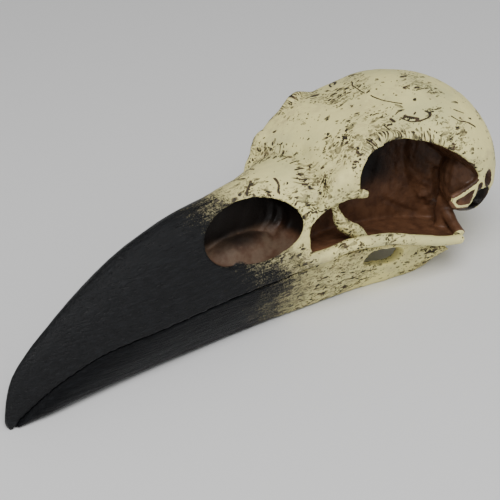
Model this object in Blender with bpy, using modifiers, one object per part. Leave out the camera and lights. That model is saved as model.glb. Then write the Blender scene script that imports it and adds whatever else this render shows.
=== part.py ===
"""A life-size raven skull, cast whole with its beak closed, lying on its lower jaw.

Lengths are in millimetres until they reach Blender. s runs back from the tip of the beak, t runs out
from the middle plane and z runs up from the surface that the jaw lies on.
"""

import bmesh
import bpy
import numpy as np

MM = 0.001
GAP = 0.3
BEYOND = 26.0
MIDDLE_S = 58.55
HEEL = 88.0
TIP_DROP = 2.85
CELL = 0.55
SKULL_TRIANGLES = 10300
JAW_TRIANGLES = 3400
SKULL_EASING = 2
JAW_EASING = 2

# Upper bill: height of its ridge and of the mouth line, half width there, and how boxy its
# section is
BILL_START = -0.6
BILL_END = 70.0
RIDGE = (
    (-0.6, -0.8), (0, 3.0), (1.2, 6.7), (4.5, 10.6), (10.5, 15.1), (17, 19.4), (28.6, 25.0),
    (40.3, 27.9), (52, 29.0), (70, 30.6),
)
MOUTH = (
    (-0.6, -1.6), (0.1, -3.3), (0.7, -2.4), (3.7, 0.4), (8.3, 3.6), (14, 6.2), (20, 8.1), (29, 9.2),
    (43, 10.8), (60, 12.2), (68, 12.9), (80, 12.1), (90, 9.4), (95, 7.8), (98.5, 5.6),
)
MOUTH_WIDTH = (
    (-0.6, 0.4), (0, 0.9), (1, 1.3), (4, 2.1), (8.3, 3.2), (14, 4.3), (29, 7.2), (43, 8.9),
    (60, 11.3), (70, 12.4),
)
BILL_FLATNESS = ((0, 0.8), (46, 0.82), (56, 0.6), (62, 0.38), (70, 0.2))

# Braincase and brow: ridge height, half width, height of the widest level and underside
CRANIUM_START = 62.0
CRANIUM_TOP = (
    (62, 28.6), (67, 30.0), (70, 31.4), (74, 34.4), (78, 36.4), (84, 37.3), (90, 39.0), (96, 39.9),
    (102, 38.8), (108, 36.4), (113, 31.5), (117.4, 20.5),
)
CRANIUM_WIDTH = (
    (62, 11.2), (66, 12.1), (70, 13.2), (74, 13.9), (80, 14.0), (87, 15.6), (94, 18.2), (100, 19.9),
    (106, 18.8), (112, 13.6), (117, 1.5),
)
CRANIUM_LEVEL = (
    (62, 27.0), (70, 28.5), (75, 30.5), (80, 33.4), (86, 33.0), (93, 28.5), (100, 24.0),
    (108, 21.5), (117, 18.4),
)
CRANIUM_BASE = ((62, 17.0), (90, 16.5), (97, 15.0), (104, 14.6), (111, 15.3), (117, 17.4))
CRANIUM_SHOULDER = ((62, 0.3), (78, 0.35), (82, 0.7), (87, 1.0), (94, 0.9), (102, 0.95), (117, 0.95))
CRANIUM_BELLY = 0.45
CREASE_APEX = 70.0
CREASE_SLOPE = 0.26
CREASE_LEAN = 0.45
CREASE_HEIGHT = 29.0
LOBE = dict(at=(70.9, 11.6, 28.6), radii=(3.4, 2.3, 3.0))

# Eye socket and the space in front of it, as tilted ovals in side view
SOCKET = dict(at=(88.2, 23.1), radii=(16.4, 9.4), tilt=-31.0, power=2.0)
FRONT_SPACE = dict(at=(76.2, 17.4), radii=(13.4, 8.1), tilt=-2.0, power=2.3)
LOW_START = 66.0
LOW_END = 107.0
LOW_ROOF = ((107.0, 14.0), (97.5, 17.5), (92.0, 22.0), (70.0, 21.0))
FLOOR_START = 64.0
FLOOR_HEIGHT = 14.9
FLOOR_FALL = 0.165
FLOOR_THICKNESS = 1.15
FLOOR_FRONT = 60.5
FLOOR_REAR = 102.0
FLOOR_NARROWING = 2.2
SEPTUM_HALF = 1.6
BRAIN_FRONT = dict(at=(107.5, 0.0, 24.0), radii=(13.0, 12.0, 17.0))

# Nostril
NOSTRIL = dict(at=(51.9, 22.0), radii=(10.4, 5.7), tilt=3.0, power=2.1)
NOSTRIL_WALL = 1.4
NOSTRIL_FLOOR = dict(at=(51.0, 3.8, 14.8), radii=(10.0, 4.6, 5.4))

# The plate between the eyes: half thickness and top along s, and how far its foot spreads
SEPTUM = (
    (61.0, 4.6, 28.0), (68.0, 3.8, 28.5), (74.0, 2.0, 31.0), (80.0, 1.6, 34.0), (89.0, 1.9, 34.0),
    (95.0, 3.0, 34.0), (99.0, 4.8, 34.0), (102.0, 6.8, 30.0), (104.0, 7.4, 28.0),
)
SEPTUM_SPREAD = 1.2
SEPTUM_SINK = 0.5

# Bars and processes: centre line as (s, t, z) and radius
CHEEK_BAR = (
    (60.5, 11.2, 14.4), (65.0, 12.9, 14.9), (71.0, 14.0, 15.7), (78.0, 15.4, 15.0),
    (87.5, 17.1, 12.3), (94.0, 18.0, 10.2), (98.6, 18.3, 9.2),
)
CHEEK_RADIUS = 1.35
CHEEK_TAPER = (1.05, 0.75)
TAB = ((70.5, 12.1, 26.6), (73.2, 12.8, 25.9), (75.9, 13.1, 24.9))
TAB_RADIUS = 1.6
CEILING = ((66.0, 24.0), (75.5, 24.0), (80.0, 30.0), (88.0, 30.0), (94.0, 25.0), (96.5, 9.0))
SILL = 1.15
CHEEK_CUT_TOP = 17.3
STRUT_FOOT = 15.6
QUADRATE_TOP = 13.2
QUADRATE_SIDE = 9.0
QUADRATE_RUN = (97.5, 112.0)
QUADRATE_FOOT = 9.8
BROW = (
    (72.8, 12.8, 28.1), (74.1, 12.2, 31.1), (77.2, 12.2, 35.0), (79.6, 12.6, 36.2),
    (82.6, 12.9, 35.2), (87.0, 13.9, 33.3), (92.0, 15.4, 31.8), (97.0, 17.2, 28.6),
    (100.8, 18.7, 24.4),
)
BROW_RADIUS = 1.25
TEAR_STRUT = (
    (69.3, 10.6, 26.5), (69.9, 10.4, 22.6), (70.9, 10.7, 19.8), (73.2, 11.0, 17.4),
    (75.4, 11.3, 15.7), (76.4, 11.4, 13.4),
)
TEAR_RADIUS = 1.2
TEAR_TAPER = (0.7, 1.1)
REAR_OF_EYE = (
    (102.6, 18.9, 24.4), (102.2, 18.8, 22.8), (101.1, 18.6, 21.3), (99.1, 18.1, 20.2),
    (97.3, 17.7, 19.4), (95.8, 17.3, 18.9),
)
REAR_OF_EYE_RADIUS = 0.9
BLADE_EDGE = ((101.1, 18.7, 21.2), (100.6, 18.6, 19.2), (99.8, 18.4, 17.2))
BLADE_EDGE_RADIUS = 0.8
BLADE_FOOT = ((95.8, 17.3, 18.6), (96.9, 17.6, 17.2), (99.6, 18.3, 16.9))
BLADE_FOOT_RADIUS = 0.8
BLADE_FACE = ((100.8, 18.4, 20.9), (99.2, 18.0, 19.0), (97.8, 17.7, 18.0))
BLADE_FACE_RADIUS = 1.7
EAR_MASS = dict(at=(103.8, 13.6, 20.4), radii=(5.8, 5.4, 7.9))
QUADRATE = ((102.0, 10.6, 17.2), (101.0, 10.7, 12.8), (100.4, 11.4, 8.8))
QUADRATE_RADIUS = 1.9
QUADRATE_FLARE = ((100.8, 10.8, 13.2), (100.0, 14.2, 11.0), (99.2, 17.2, 9.5))
QUADRATE_FLARE_RADIUS = 1.2
SKULL_BASE = dict(at=(105.3, 0.0, 15.8), radii=(9.4, 10.0, 8.0))
EAR_HOLLOW = dict(at=(103.6, 19.4, 16.7), radii=(3.5, 4.6, 3.0))
EAR_PIT = dict(at=(104.5, 19.9, 21.9), radii=(1.6, 2.1, 1.8))
NERVE_HOLE = dict(at=(117.4, 0.0, 18.2), radii=(4.5, 3.3, 3.0))
NECK_KNOB = dict(at=(115.3, 0.0, 14.9), radii=(1.6, 1.5, 1.3))

# Lower jaw: half width on the surface below, wall, and the window through each side
JAW_START = 0.6
JAW_END = 98.5
JAW_FLOOR = (
    (0.5, -2.6), (6, -1.6), (12.5, -0.8), (20, -0.5), (32, -0.4), (60, -0.3), (85, 0.0), (91, 0.1),
    (94.5, 0.5), (97, 1.6), (99, 3.6),
)
JAW_FOOT = (
    (0, 0.8), (3.4, 1.9), (9, 3.0), (18, 3.3), (30, 3.6), (41, 4.1), (53, 4.8), (65, 6.0),
    (79, 7.9), (90, 10.2), (99, 11.5),
)
JAW_TOP_WIDTH = (
    (0, 0.7), (4, 1.95), (8.3, 3.0), (14, 4.1), (29, 7.0), (43, 8.7), (60, 11.0), (75, 12.6),
    (90, 14.4), (99, 15.2),
)
JAW_WALL = 2.2
JAW_BULGE = 0.5
JAW_FORK = 27.0
JAW_FORK_RUN = 9.0
WINDOW = dict(at=(82.1, 8.4), radii=(4.8, 2.15), tilt=-11.0, power=3.0)

BONE = (0.62, 0.60, 0.42, 1.0)
HORN = (0.012, 0.013, 0.015, 1.0)
WASH = (0.16, 0.075, 0.045, 1.0)

# Each upper node: a point (s, t, z) on it, its colour and its roughness
NODES = {
    "braincase": ((95.0, 0.0, 39.8), BONE, 0.5),
    "upper_bill": ((30.0, 0.0, 25.0), HORN, 0.42),
    "septum": ((84.0, 2.2, 20.0), WASH, 0.35),
    "palate": ((90.0, 5.0, 10.7), WASH, 0.35),
    "cheek_bar_left": ((88.0, 18.4, 12.0), BONE, 0.5),
    "cheek_bar_right": ((88.0, -18.4, 12.0), BONE, 0.5),
    "tear_bone_left": ((70.9, 10.7, 19.8), BONE, 0.55),
    "tear_bone_right": ((70.9, -10.7, 19.8), BONE, 0.55),
    "quadrate_left": ((100.6, 12.6, 12.2), BONE, 0.55),
    "quadrate_right": ((100.6, -12.6, 12.2), BONE, 0.55),
}


def smooth(stations, x):
    """Monotone cubic curve through (x, y) stations."""
    xs = np.array([p[0] for p in stations], float)
    ys = np.array([p[1] for p in stations], float)
    steps = np.diff(xs)
    slopes = np.diff(ys) / steps
    ends = np.zeros_like(ys)
    ends[0] = slopes[0]
    ends[-1] = slopes[-1]
    for i in range(1, len(xs) - 1):
        if slopes[i - 1] * slopes[i] > 0:
            w1 = 2 * steps[i] + steps[i - 1]
            w2 = steps[i] + 2 * steps[i - 1]
            ends[i] = (w1 + w2) / (w1 / slopes[i - 1] + w2 / slopes[i])
    x = np.clip(x, xs[0], xs[-1])
    i = np.clip(np.searchsorted(xs, x) - 1, 0, len(xs) - 2)
    h = steps[i]
    u = (x - xs[i]) / h
    return (
        (1 + 2 * u) * (1 - u) ** 2 * ys[i]
        + u * (1 - u) ** 2 * h * ends[i]
        + u * u * (3 - 2 * u) * ys[i + 1]
        + u * u * (u - 1) * h * ends[i + 1]
    )


def eased(start, end, count, front=0.0, rear=0.0):
    """Stations from start to end, packed closer at an end by the share given for it."""
    u = np.linspace(0, 1, count)
    slow_start = 1 - np.cos(0.5 * np.pi * u)
    slow_end = np.sin(0.5 * np.pi * u)
    u = u * (1 - front - rear) + slow_start * front + slow_end * rear
    return start + (end - start) * u


def placed(points):
    """Millimetres along s, t and z to Blender's metres, with the beak towards -X and t towards -Y.

    The head is pitched until the hooked tip of the beak and the heels of the lower jaw are level.
    """
    s, t, z = np.asarray(points, float).T
    pitch = np.arctan2(TIP_DROP, HEEL)
    back = HEEL + (s - HEEL) * np.cos(pitch) + z * np.sin(pitch)
    high = (HEEL - s) * np.sin(pitch) + z * np.cos(pitch)
    return np.stack([back - MIDDLE_S, -t, high], 1) * MM


def new_object(name, vertices, faces, collection=None):
    mesh = bpy.data.meshes.new(name)
    mesh.from_pydata([tuple(v) for v in vertices], [], faces)
    obj = bpy.data.objects.new(name, mesh)
    (collection or bpy.context.scene.collection).objects.link(obj)
    tidy(obj)
    return obj


def tidy(obj):
    """Turns every face of a closed mesh outwards."""
    bm = bmesh.new()
    bm.from_mesh(obj.data)
    bmesh.ops.remove_doubles(bm, verts=bm.verts, dist=1e-7)
    bmesh.ops.recalc_face_normals(bm, faces=bm.faces)
    bm.to_mesh(obj.data)
    bm.free()


def loft(name, rings):
    """Joins rings of equal count into a closed body with flat ends."""
    count = len(rings[0])
    vertices = placed(np.concatenate(rings))
    faces = []
    for r in range(len(rings) - 1):
        for i in range(count):
            j = (i + 1) % count
            faces.append((r * count + i, r * count + j, (r + 1) * count + j, (r + 1) * count + i))
    faces.append(tuple(range(count)))
    faces.append(tuple((len(rings) - 1) * count + i for i in reversed(range(count))))
    return new_object(name, vertices, faces)


def apply_modifiers(obj):
    depsgraph = bpy.context.evaluated_depsgraph_get()
    mesh = bpy.data.meshes.new_from_object(obj.evaluated_get(depsgraph))
    obj.modifiers.clear()
    old = obj.data
    obj.data = mesh
    bpy.data.meshes.remove(old)


def combine(obj, others, operation):
    """One Boolean of obj with a collection of closed meshes, which are then removed."""
    group = bpy.data.collections.new("operands")
    for other in others:
        group.objects.link(other)
    modifier = obj.modifiers.new("boolean", "BOOLEAN")
    modifier.operation = operation
    modifier.solver = "EXACT"
    modifier.operand_type = "COLLECTION"
    modifier.collection = group
    apply_modifiers(obj)
    for other in others:
        bpy.data.objects.remove(other)
    bpy.data.collections.remove(group)
    return obj


def ellipsoid(name, at, radii, side=1):
    bm = bmesh.new()
    bmesh.ops.create_uvsphere(bm, u_segments=28, v_segments=18, radius=1.0)
    points = np.array([v.co[:] for v in bm.verts]) * radii + (at[0], side * at[1], at[2])
    for vertex, point in zip(bm.verts, placed(points)):
        vertex.co = point
    mesh = bpy.data.meshes.new(name)
    bm.to_mesh(mesh)
    bm.free()
    obj = bpy.data.objects.new(name, mesh)
    bpy.context.scene.collection.objects.link(obj)
    tidy(obj)
    return obj


def curve_points(path, count):
    """Smooth points along a path of (s, t, z), spaced by its length."""
    path = np.array(path, float)
    run = np.concatenate([[0], np.cumsum(np.linalg.norm(np.diff(path, axis=0), axis=1))])
    along = np.linspace(0, run[-1], count)
    return np.stack([smooth(list(zip(run, path[:, k])), along) for k in range(3)], 1)


def tube(name, path, radius, side=1, flat=1.0, taper=(1.0, 1.0), count=14, sides=14):
    """A rod along a path, flattened across t by flat and tapering between the two end shares."""
    points = curve_points(path, count)
    ways = np.gradient(points, axis=0)
    ways /= np.linalg.norm(ways, axis=1)[:, None]
    rings = []
    turn = np.linspace(0, 2 * np.pi, sides, endpoint=False)
    for k, (point, way) in enumerate(zip(points, ways)):
        out = np.array([0.0, 1.0, 0.0]) - way * way[1]
        out /= np.linalg.norm(out)
        over = np.cross(way, out)
        u = k / (count - 1)
        size = radius * (taper[0] * (1 - u) + taper[1] * u)
        ring = point + size * (np.cos(turn)[:, None] * out * flat + np.sin(turn)[:, None] * over)
        ring[:, 1] *= side
        rings.append(ring)
    return loft(name, rings)


def oval(at, radii, tilt, power, count=56):
    """Points of a tilted superellipse in side view."""
    a = np.linspace(0, 2 * np.pi, count, endpoint=False)
    x = radii[0] * np.sign(np.cos(a)) * np.abs(np.cos(a)) ** (2 / power)
    y = radii[1] * np.sign(np.sin(a)) * np.abs(np.sin(a)) ** (2 / power)
    c, s = np.cos(np.radians(tilt)), np.sin(np.radians(tilt))
    return np.stack([at[0] + x * c - y * s, at[1] + x * s + y * c], 1)


def pocket(name, outline, inner, outer, side, rounding=3.0):
    """A hollow seen from the side as outline, closed at t = inner with a rounded bottom."""
    centre = outline.mean(0)
    rings = []
    for t, share in (
        (inner, 0.80),
        (inner + 0.15 * rounding, 0.91),
        (inner + 0.45 * rounding, 0.97),
        (inner + rounding, 1.0),
        (outer, 1.0),
    ):
        flat = centre + (outline - centre) * share
        rings.append(np.stack([flat[:, 0], np.full(len(flat), side * t), flat[:, 1]], 1))
    return loft(name, rings)


def floor_top(s):
    return FLOOR_HEIGHT - FLOOR_FALL * (s - FLOOR_START)


def bill():
    stations = eased(BILL_START, BILL_END, 46, front=0.85)
    rings = []
    arch = np.radians(np.linspace(-90, 90, 41))
    flats = np.linspace(1, -1, 7)[1:-1]
    for s in stations:
        base = smooth(MOUTH, s) + GAP / 2
        half = smooth(MOUTH_WIDTH, s)
        high = smooth(RIDGE, s) - base
        t = half * np.sin(arch)
        z = base + high * np.cos(arch) ** (2 * smooth(BILL_FLATNESS, s))
        z[0] = z[-1] = base
        t = np.concatenate([t, half * flats])
        z = np.concatenate([z, np.full(len(flats), base)])
        rings.append(np.stack([np.full(len(t), s), t, z], 1))
    return loft("upper_bill", rings)


def cranium():
    stations = eased(CRANIUM_START, CRANIUM_TOP[-1][0], 44, rear=0.8)
    rings = []
    half_turn = np.radians(np.linspace(-90, 90, 37))
    for s in stations:
        half = smooth(CRANIUM_WIDTH, s)
        level = smooth(CRANIUM_LEVEL, s)
        up = smooth(CRANIUM_TOP, s) - level
        down = level - smooth(CRANIUM_BASE, s)
        t = half * np.sin(half_turn)
        arch = np.abs(np.cos(half_turn))
        over = level + up * arch ** smooth(CRANIUM_SHOULDER, s)
        under = level - down * arch**CRANIUM_BELLY
        t = np.concatenate([t, t[1:-1][::-1]])
        z = np.concatenate([over, under[1:-1][::-1]])
        rings.append(np.stack([np.full(len(t), s), t, z], 1))
    return loft("cranium", rings)


def crease_cutter():
    """Everything ahead of the V where the brow rises from the bill."""
    rings = []
    ahead = CRANIUM_START - 40.0
    for z in (0.0, 48.0):
        apex = CREASE_APEX + CREASE_LEAN * (z - CREASE_HEIGHT)
        wing = apex - CREASE_SLOPE * BEYOND
        corners = ((ahead, BEYOND), (wing, BEYOND), (apex, 0), (wing, -BEYOND), (ahead, -BEYOND))
        rings.append(np.array([(s, t, z) for s, t in corners], float))
    return loft("crease_cutter", rings)


def floor_plate():
    """The palate, dished between the two cheek bars and narrowing behind them."""
    rings = []
    share = np.linspace(-1, 1, 13)
    for s in np.linspace(FLOOR_FRONT, FLOOR_REAR, 14):
        half, edge = (smooth([(p[0], p[k]) for p in CHEEK_BAR], s) for k in (1, 2))
        half -= FLOOR_NARROWING * max(s - CHEEK_BAR[-1][0], 0.0)
        top = floor_top(s) + max(edge - floor_top(s), 0.0) * share**2
        over = np.stack([np.full(13, s), share * half, top], 1)
        under = (over - (0, 0, FLOOR_THICKNESS))[::-1]
        rings.append(np.concatenate([over, under]))
    return loft("floor_plate", rings)


def septum():
    """The plate between the eyes, with its foot sunk in the palate."""
    rings = []
    for s, half, roof in SEPTUM:
        foot = floor_top(s) - SEPTUM_SINK
        wide = half + SEPTUM_SPREAD
        rings.append(np.array([(s, half, roof), (s, -half, roof), (s, -wide, foot), (s, wide, foot)]))
    return loft("septum", rings)


def plain_ellipsoid(name, form, side=1):
    return ellipsoid(name, form["at"], form["radii"], side)


def hollow_cutters(side):
    """The eye socket, the space ahead of it and the gap under both, one side."""
    socket = pocket("socket", oval(**SOCKET), SEPTUM_HALF, BEYOND, side, 4.0)
    front = pocket("front_space", oval(**FRONT_SPACE), SEPTUM_HALF + 2.0, BEYOND, side, 3.0)
    low = [(LOW_START, floor_top(LOW_START)), (LOW_END, floor_top(LOW_END))]
    low = pocket("low_space", np.array(low + list(LOW_ROOF)), SEPTUM_HALF + 1.0, BEYOND, side, 2.0)
    return [socket, front, low]


def floor_keeper():
    """All below the floor of the sockets, taken out of the cutters."""
    rings = []
    for s in (50.0, 112.0):
        top = floor_top(s)
        corners = ((BEYOND + 1, top), (-BEYOND - 1, top), (-BEYOND - 1, -20), (BEYOND + 1, -20))
        rings.append(np.array([(s, t, z) for t, z in corners], float))
    return loft("floor_keeper", rings)


def outer_form():
    """The outside of the upper skull before its hollows are cut."""
    skull = cranium()
    combine(skull, [crease_cutter()], "DIFFERENCE")
    pieces = [bill(), septum(), plain_ellipsoid("skull_base", SKULL_BASE)]
    for side in (1, -1):
        pieces.append(tube("brow", BROW, BROW_RADIUS, side, taper=(0.7, 1.0), count=20))
        pieces.append(plain_ellipsoid("lobe", LOBE, side))
        pieces.append(plain_ellipsoid("ear_mass", EAR_MASS, side))
    return combine(skull, pieces, "UNION")


def hollow(skull):
    """Cuts the sockets and nostrils, then adds the floor, the bars and the processes."""
    for side in (1, -1):
        parts = hollow_cutters(side)
        cutter = parts.pop()
        combine(cutter, parts, "UNION")
        kept = [floor_keeper(), septum(), plain_ellipsoid("brain", BRAIN_FRONT)]
        kept.append(plain_ellipsoid("base", SKULL_BASE))
        kept.append(plain_ellipsoid("ear_mass", EAR_MASS, side))
        combine(cutter, kept, "DIFFERENCE")
        nostril = pocket("nostril", oval(**NOSTRIL), NOSTRIL_WALL, BEYOND, side, 4.0)
        combine(nostril, [plain_ellipsoid("nostril_floor", NOSTRIL_FLOOR, side)], "DIFFERENCE")
        combine(skull, [cutter, nostril], "DIFFERENCE")
    pieces = [floor_plate(), plain_ellipsoid("knob", NECK_KNOB)]
    for side in (1, -1):
        pieces.append(tube("cheek", CHEEK_BAR, CHEEK_RADIUS, side, taper=CHEEK_TAPER, count=20))
        pieces.append(tube("tear", TEAR_STRUT, TEAR_RADIUS, side, 0.8, TEAR_TAPER))
        pieces.append(tube("tab", TAB, TAB_RADIUS, side, 0.7, (1.0, 0.45)))
        pieces.append(tube("quadrate", QUADRATE, QUADRATE_RADIUS, side, 0.9))
        pieces.append(tube("flare", QUADRATE_FLARE, QUADRATE_FLARE_RADIUS, side))
        pieces.append(tube("rear_of_eye", REAR_OF_EYE, REAR_OF_EYE_RADIUS, side, 0.8))
        pieces.append(tube("blade_edge", BLADE_EDGE, BLADE_EDGE_RADIUS, side, 0.8))
        pieces.append(tube("blade_foot", BLADE_FOOT, BLADE_FOOT_RADIUS, side, 0.8))
        pieces.append(tube("blade_face", BLADE_FACE, BLADE_FACE_RADIUS, side, 0.3, (0.4, 1.0)))
    combine(skull, pieces, "UNION")
    holes = [plain_ellipsoid("nerve_hole", NERVE_HOLE)]
    for side in (1, -1):
        holes += [plain_ellipsoid("ear", EAR_HOLLOW, side), plain_ellipsoid("pit", EAR_PIT, side)]
    return combine(skull, holes, "DIFFERENCE")


def jaw_outside():
    """The jaw as one solid wedge, from its rounded floor up to the mouth line."""
    rings = []
    up = np.linspace(0, 1, 9)
    for s in eased(JAW_START, JAW_END, 40, front=0.6, rear=0.2):
        foot = smooth(JAW_FOOT, s)
        brim = smooth(JAW_TOP_WIDTH, s)
        low = smooth(JAW_FLOOR, s)
        top = smooth(MOUTH, s) - GAP / 2
        t = foot + (brim - foot) * up + JAW_BULGE * np.sin(np.pi * up)
        side = np.stack([np.full(len(up), s), t, low + (top - low) * up], 1)
        rings.append(np.concatenate([side, side[::-1] * (1, -1, 1)]))
    return loft("lower_jaw", rings)


def jaw_inside():
    """The space between the two branches of the jaw, open above, below and behind."""
    rings = []
    for s in np.linspace(JAW_FORK, JAW_END + 6, 26):
        opened = np.sqrt(np.clip((s - JAW_FORK) / JAW_FORK_RUN, 0.01, 1))
        end = min(s, JAW_END)
        foot = max(smooth(JAW_FOOT, end) - JAW_WALL, 0.25) * opened
        brim = (smooth(JAW_TOP_WIDTH, end) - JAW_WALL) * opened
        low = -4.0
        top = smooth(MOUTH, end) + 2.0
        rings.append(np.array([(s, foot, low), (s, brim, top), (s, -brim, top), (s, -foot, low)]))
    return loft("jaw_inside", rings)


def jaw():
    """The lower jaw: two branches joined in front, each with its window."""
    cutters = [jaw_inside()]
    for side in (1, -1):
        cutters.append(pocket("window", oval(**WINDOW), 3.0, BEYOND, side, 0.5))
    return combine(jaw_outside(), cutters, "DIFFERENCE")


def rounded(obj, cell, smoothing, triangles):
    """Melts the joined body into one even skin, eases its edges and thins its triangles."""
    remesh = obj.modifiers.new("skin", "REMESH")
    remesh.mode = "VOXEL"
    remesh.voxel_size = cell * MM
    remesh.adaptivity = 0.0
    ease = obj.modifiers.new("ease", "SMOOTH")
    ease.factor = 0.5
    ease.iterations = smoothing
    apply_modifiers(obj)
    count = sum(len(p.vertices) - 2 for p in obj.data.polygons)
    thin = obj.modifiers.new("thin", "DECIMATE")
    thin.ratio = triangles / count
    apply_modifiers(obj)
    return obj


def sheet(name, line, thickness, low, high, across):
    """A thin wall along a line of points: across "t" it is drawn in side view, across "z" in plan."""
    line = np.array(line, float)
    ways = np.gradient(line, axis=0)
    ways /= np.linalg.norm(ways, axis=1)[:, None]
    offset = np.stack([-ways[:, 1], ways[:, 0]], 1) * thickness / 2
    rings = []
    for (a, b), (da, db) in zip(line, offset):
        corners = []
        for sign, end in ((1, low), (1, high), (-1, high), (-1, low)):
            p, q = a + sign * da, b + sign * db
            corners.append((p, end, q) if across == "t" else (p, q, end))
        rings.append(np.array(corners, float))
    return loft(name, rings)


def parting_cuts():
    """Thin walls that part the cast into its named pieces."""
    crease = [(CREASE_APEX - CREASE_SLOPE * abs(t), t) for t in (-24.0, -12.0, 0.0, 12.0, 24.0)]
    sill = [(s, floor_top(s) + SILL) for s in (62.0, 85.0, 112.0)]
    edge = QUADRATE_SIDE + GAP / 2
    cuts = [
        sheet("crease", crease, GAP, -8.0, 50.0, "z"),
        sheet("sill", sill, GAP, -edge, edge, "t"),
        sheet("ceiling", CEILING, GAP, -7.0, 7.0, "t"),
    ]
    strut_top = CEILING[0][1]
    for side in (1, -1):
        inner = [(p[0], side * (p[1] - CHEEK_RADIUS - 0.2)) for p in CHEEK_BAR]
        inner = [(58.0, inner[0][1])] + inner + [(106.0, inner[-1][1])]
        cuts.append(sheet("cheek_side", inner, GAP, -2.0, CHEEK_CUT_TOP, "z"))
        flats = (
            ("strut_top", 66.0, 75.5, strut_top, 7.5, 15.5),
            ("strut_foot", 71.5, 79.5, STRUT_FOOT, 9.2, 13.0),
            ("quadrate_top", *QUADRATE_RUN, QUADRATE_TOP, QUADRATE_SIDE - GAP / 2, 20.0),
            ("quadrate_foot", *QUADRATE_RUN, QUADRATE_FOOT, QUADRATE_SIDE - GAP / 2, 20.0),
        )
        for name, start, end, z, inside, outside in flats:
            low, high = sorted((side * inside, side * outside))
            cuts.append(sheet(name, ((start, z), (end, z)), GAP, low, high, "t"))
        plane = [(s, side * QUADRATE_SIDE) for s in QUADRATE_RUN]
        low, high = QUADRATE_FOOT - GAP / 2, QUADRATE_TOP + GAP / 2
        cuts.append(sheet("quadrate_side", plane, GAP, low, high, "z"))
    return cuts


def loose_bodies(obj):
    """The separate closed bodies of a mesh, as vertex arrays with their faces."""
    count = len(obj.data.vertices)
    root = np.arange(count)

    def find(i):
        while root[i] != i:
            root[i] = root[root[i]]
            i = root[i]
        return i

    for edge in obj.data.edges:
        a, b = (find(i) for i in edge.vertices)
        root[max(a, b)] = min(a, b)
    label = np.array([find(i) for i in range(count)])
    points = np.array([v.co[:] for v in obj.data.vertices])
    bodies = {}
    for face in obj.data.polygons:
        bodies.setdefault(label[face.vertices[0]], []).append(tuple(face.vertices))
    for faces in bodies.values():
        used = sorted({i for face in faces for i in face})
        index = {old: new for new, old in enumerate(used)}
        yield points[used], [tuple(index[i] for i in face) for face in faces]


def material(name, colour, roughness):
    made = bpy.data.materials.new(name)
    made.use_nodes = True
    shader = made.node_tree.nodes["Principled BSDF"]
    shader.inputs["Base Color"].default_value = colour
    shader.inputs["Roughness"].default_value = roughness
    return made


def nearest_body(bodies, anchor):
    """The body with a vertex closest to an anchor given as (s, t, z)."""
    target = placed([anchor])[0]
    return min(bodies, key=lambda body: np.linalg.norm(body[0] - target, axis=1).min())


def main():
    for obj in list(bpy.data.objects):
        bpy.data.objects.remove(obj)
    part = bpy.data.collections.new("raven_skull")
    bpy.context.scene.collection.children.link(part)
    skull = rounded(hollow(outer_form()), CELL, SKULL_EASING, SKULL_TRIANGLES)
    combine(skull, parting_cuts(), "DIFFERENCE")
    bodies = list(loose_bodies(skull))
    bpy.data.objects.remove(skull)
    for name, (anchor, colour, roughness) in NODES.items():
        points, faces = nearest_body(bodies, anchor)
        node = new_object(name, points, faces, part)
        node.data.materials.append(material(name + "_finish", colour, roughness))
    lower = rounded(jaw(), CELL, JAW_EASING, JAW_TRIANGLES)
    bpy.context.scene.collection.objects.unlink(lower)
    part.objects.link(lower)
    lower.data.materials.append(material("lower_jaw_finish", BONE, 0.5))


if __name__ == "__main__":
    main()
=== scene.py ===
import math

import bmesh
import bpy
import numpy as np
from bpy.props import FloatProperty, FloatVectorProperty, IntProperty, PointerProperty
from mathutils import Matrix, Vector
from mathutils.bvhtree import BVHTree


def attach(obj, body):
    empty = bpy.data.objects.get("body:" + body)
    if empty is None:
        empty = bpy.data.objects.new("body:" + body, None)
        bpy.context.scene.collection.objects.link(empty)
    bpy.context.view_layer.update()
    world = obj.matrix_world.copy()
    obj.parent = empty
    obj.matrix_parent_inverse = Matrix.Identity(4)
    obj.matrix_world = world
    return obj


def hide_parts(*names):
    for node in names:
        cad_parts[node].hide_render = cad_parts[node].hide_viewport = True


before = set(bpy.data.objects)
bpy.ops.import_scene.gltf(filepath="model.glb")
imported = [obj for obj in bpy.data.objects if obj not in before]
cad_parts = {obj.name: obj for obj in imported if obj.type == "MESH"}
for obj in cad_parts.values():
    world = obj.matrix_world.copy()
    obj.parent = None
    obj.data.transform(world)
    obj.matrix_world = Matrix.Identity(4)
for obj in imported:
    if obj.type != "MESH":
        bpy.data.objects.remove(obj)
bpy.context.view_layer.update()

bl_info = {
    "name": "Raven Skull",
    "version": (1, 0, 0),
    "blender": (4, 5, 0),
    "location": "View3D > Sidebar > Raven Skull",
    "description": "Builds a painted cast of a raven skull and the stage it is shown on",
    "category": "Object",
}

# Sizes are in millimetres: s runs back from the tip of the beak, t to the skull's left and z up.
# The jaw rests on its heels, which lie at HEEL, and the tip of the beak drops by TIP_DROP there.
MM = 0.001
GAP = 0.3
BEYOND = 26.0
MIDDLE_S = 58.55
HEEL = 88.0
TIP_DROP = 2.85

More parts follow.
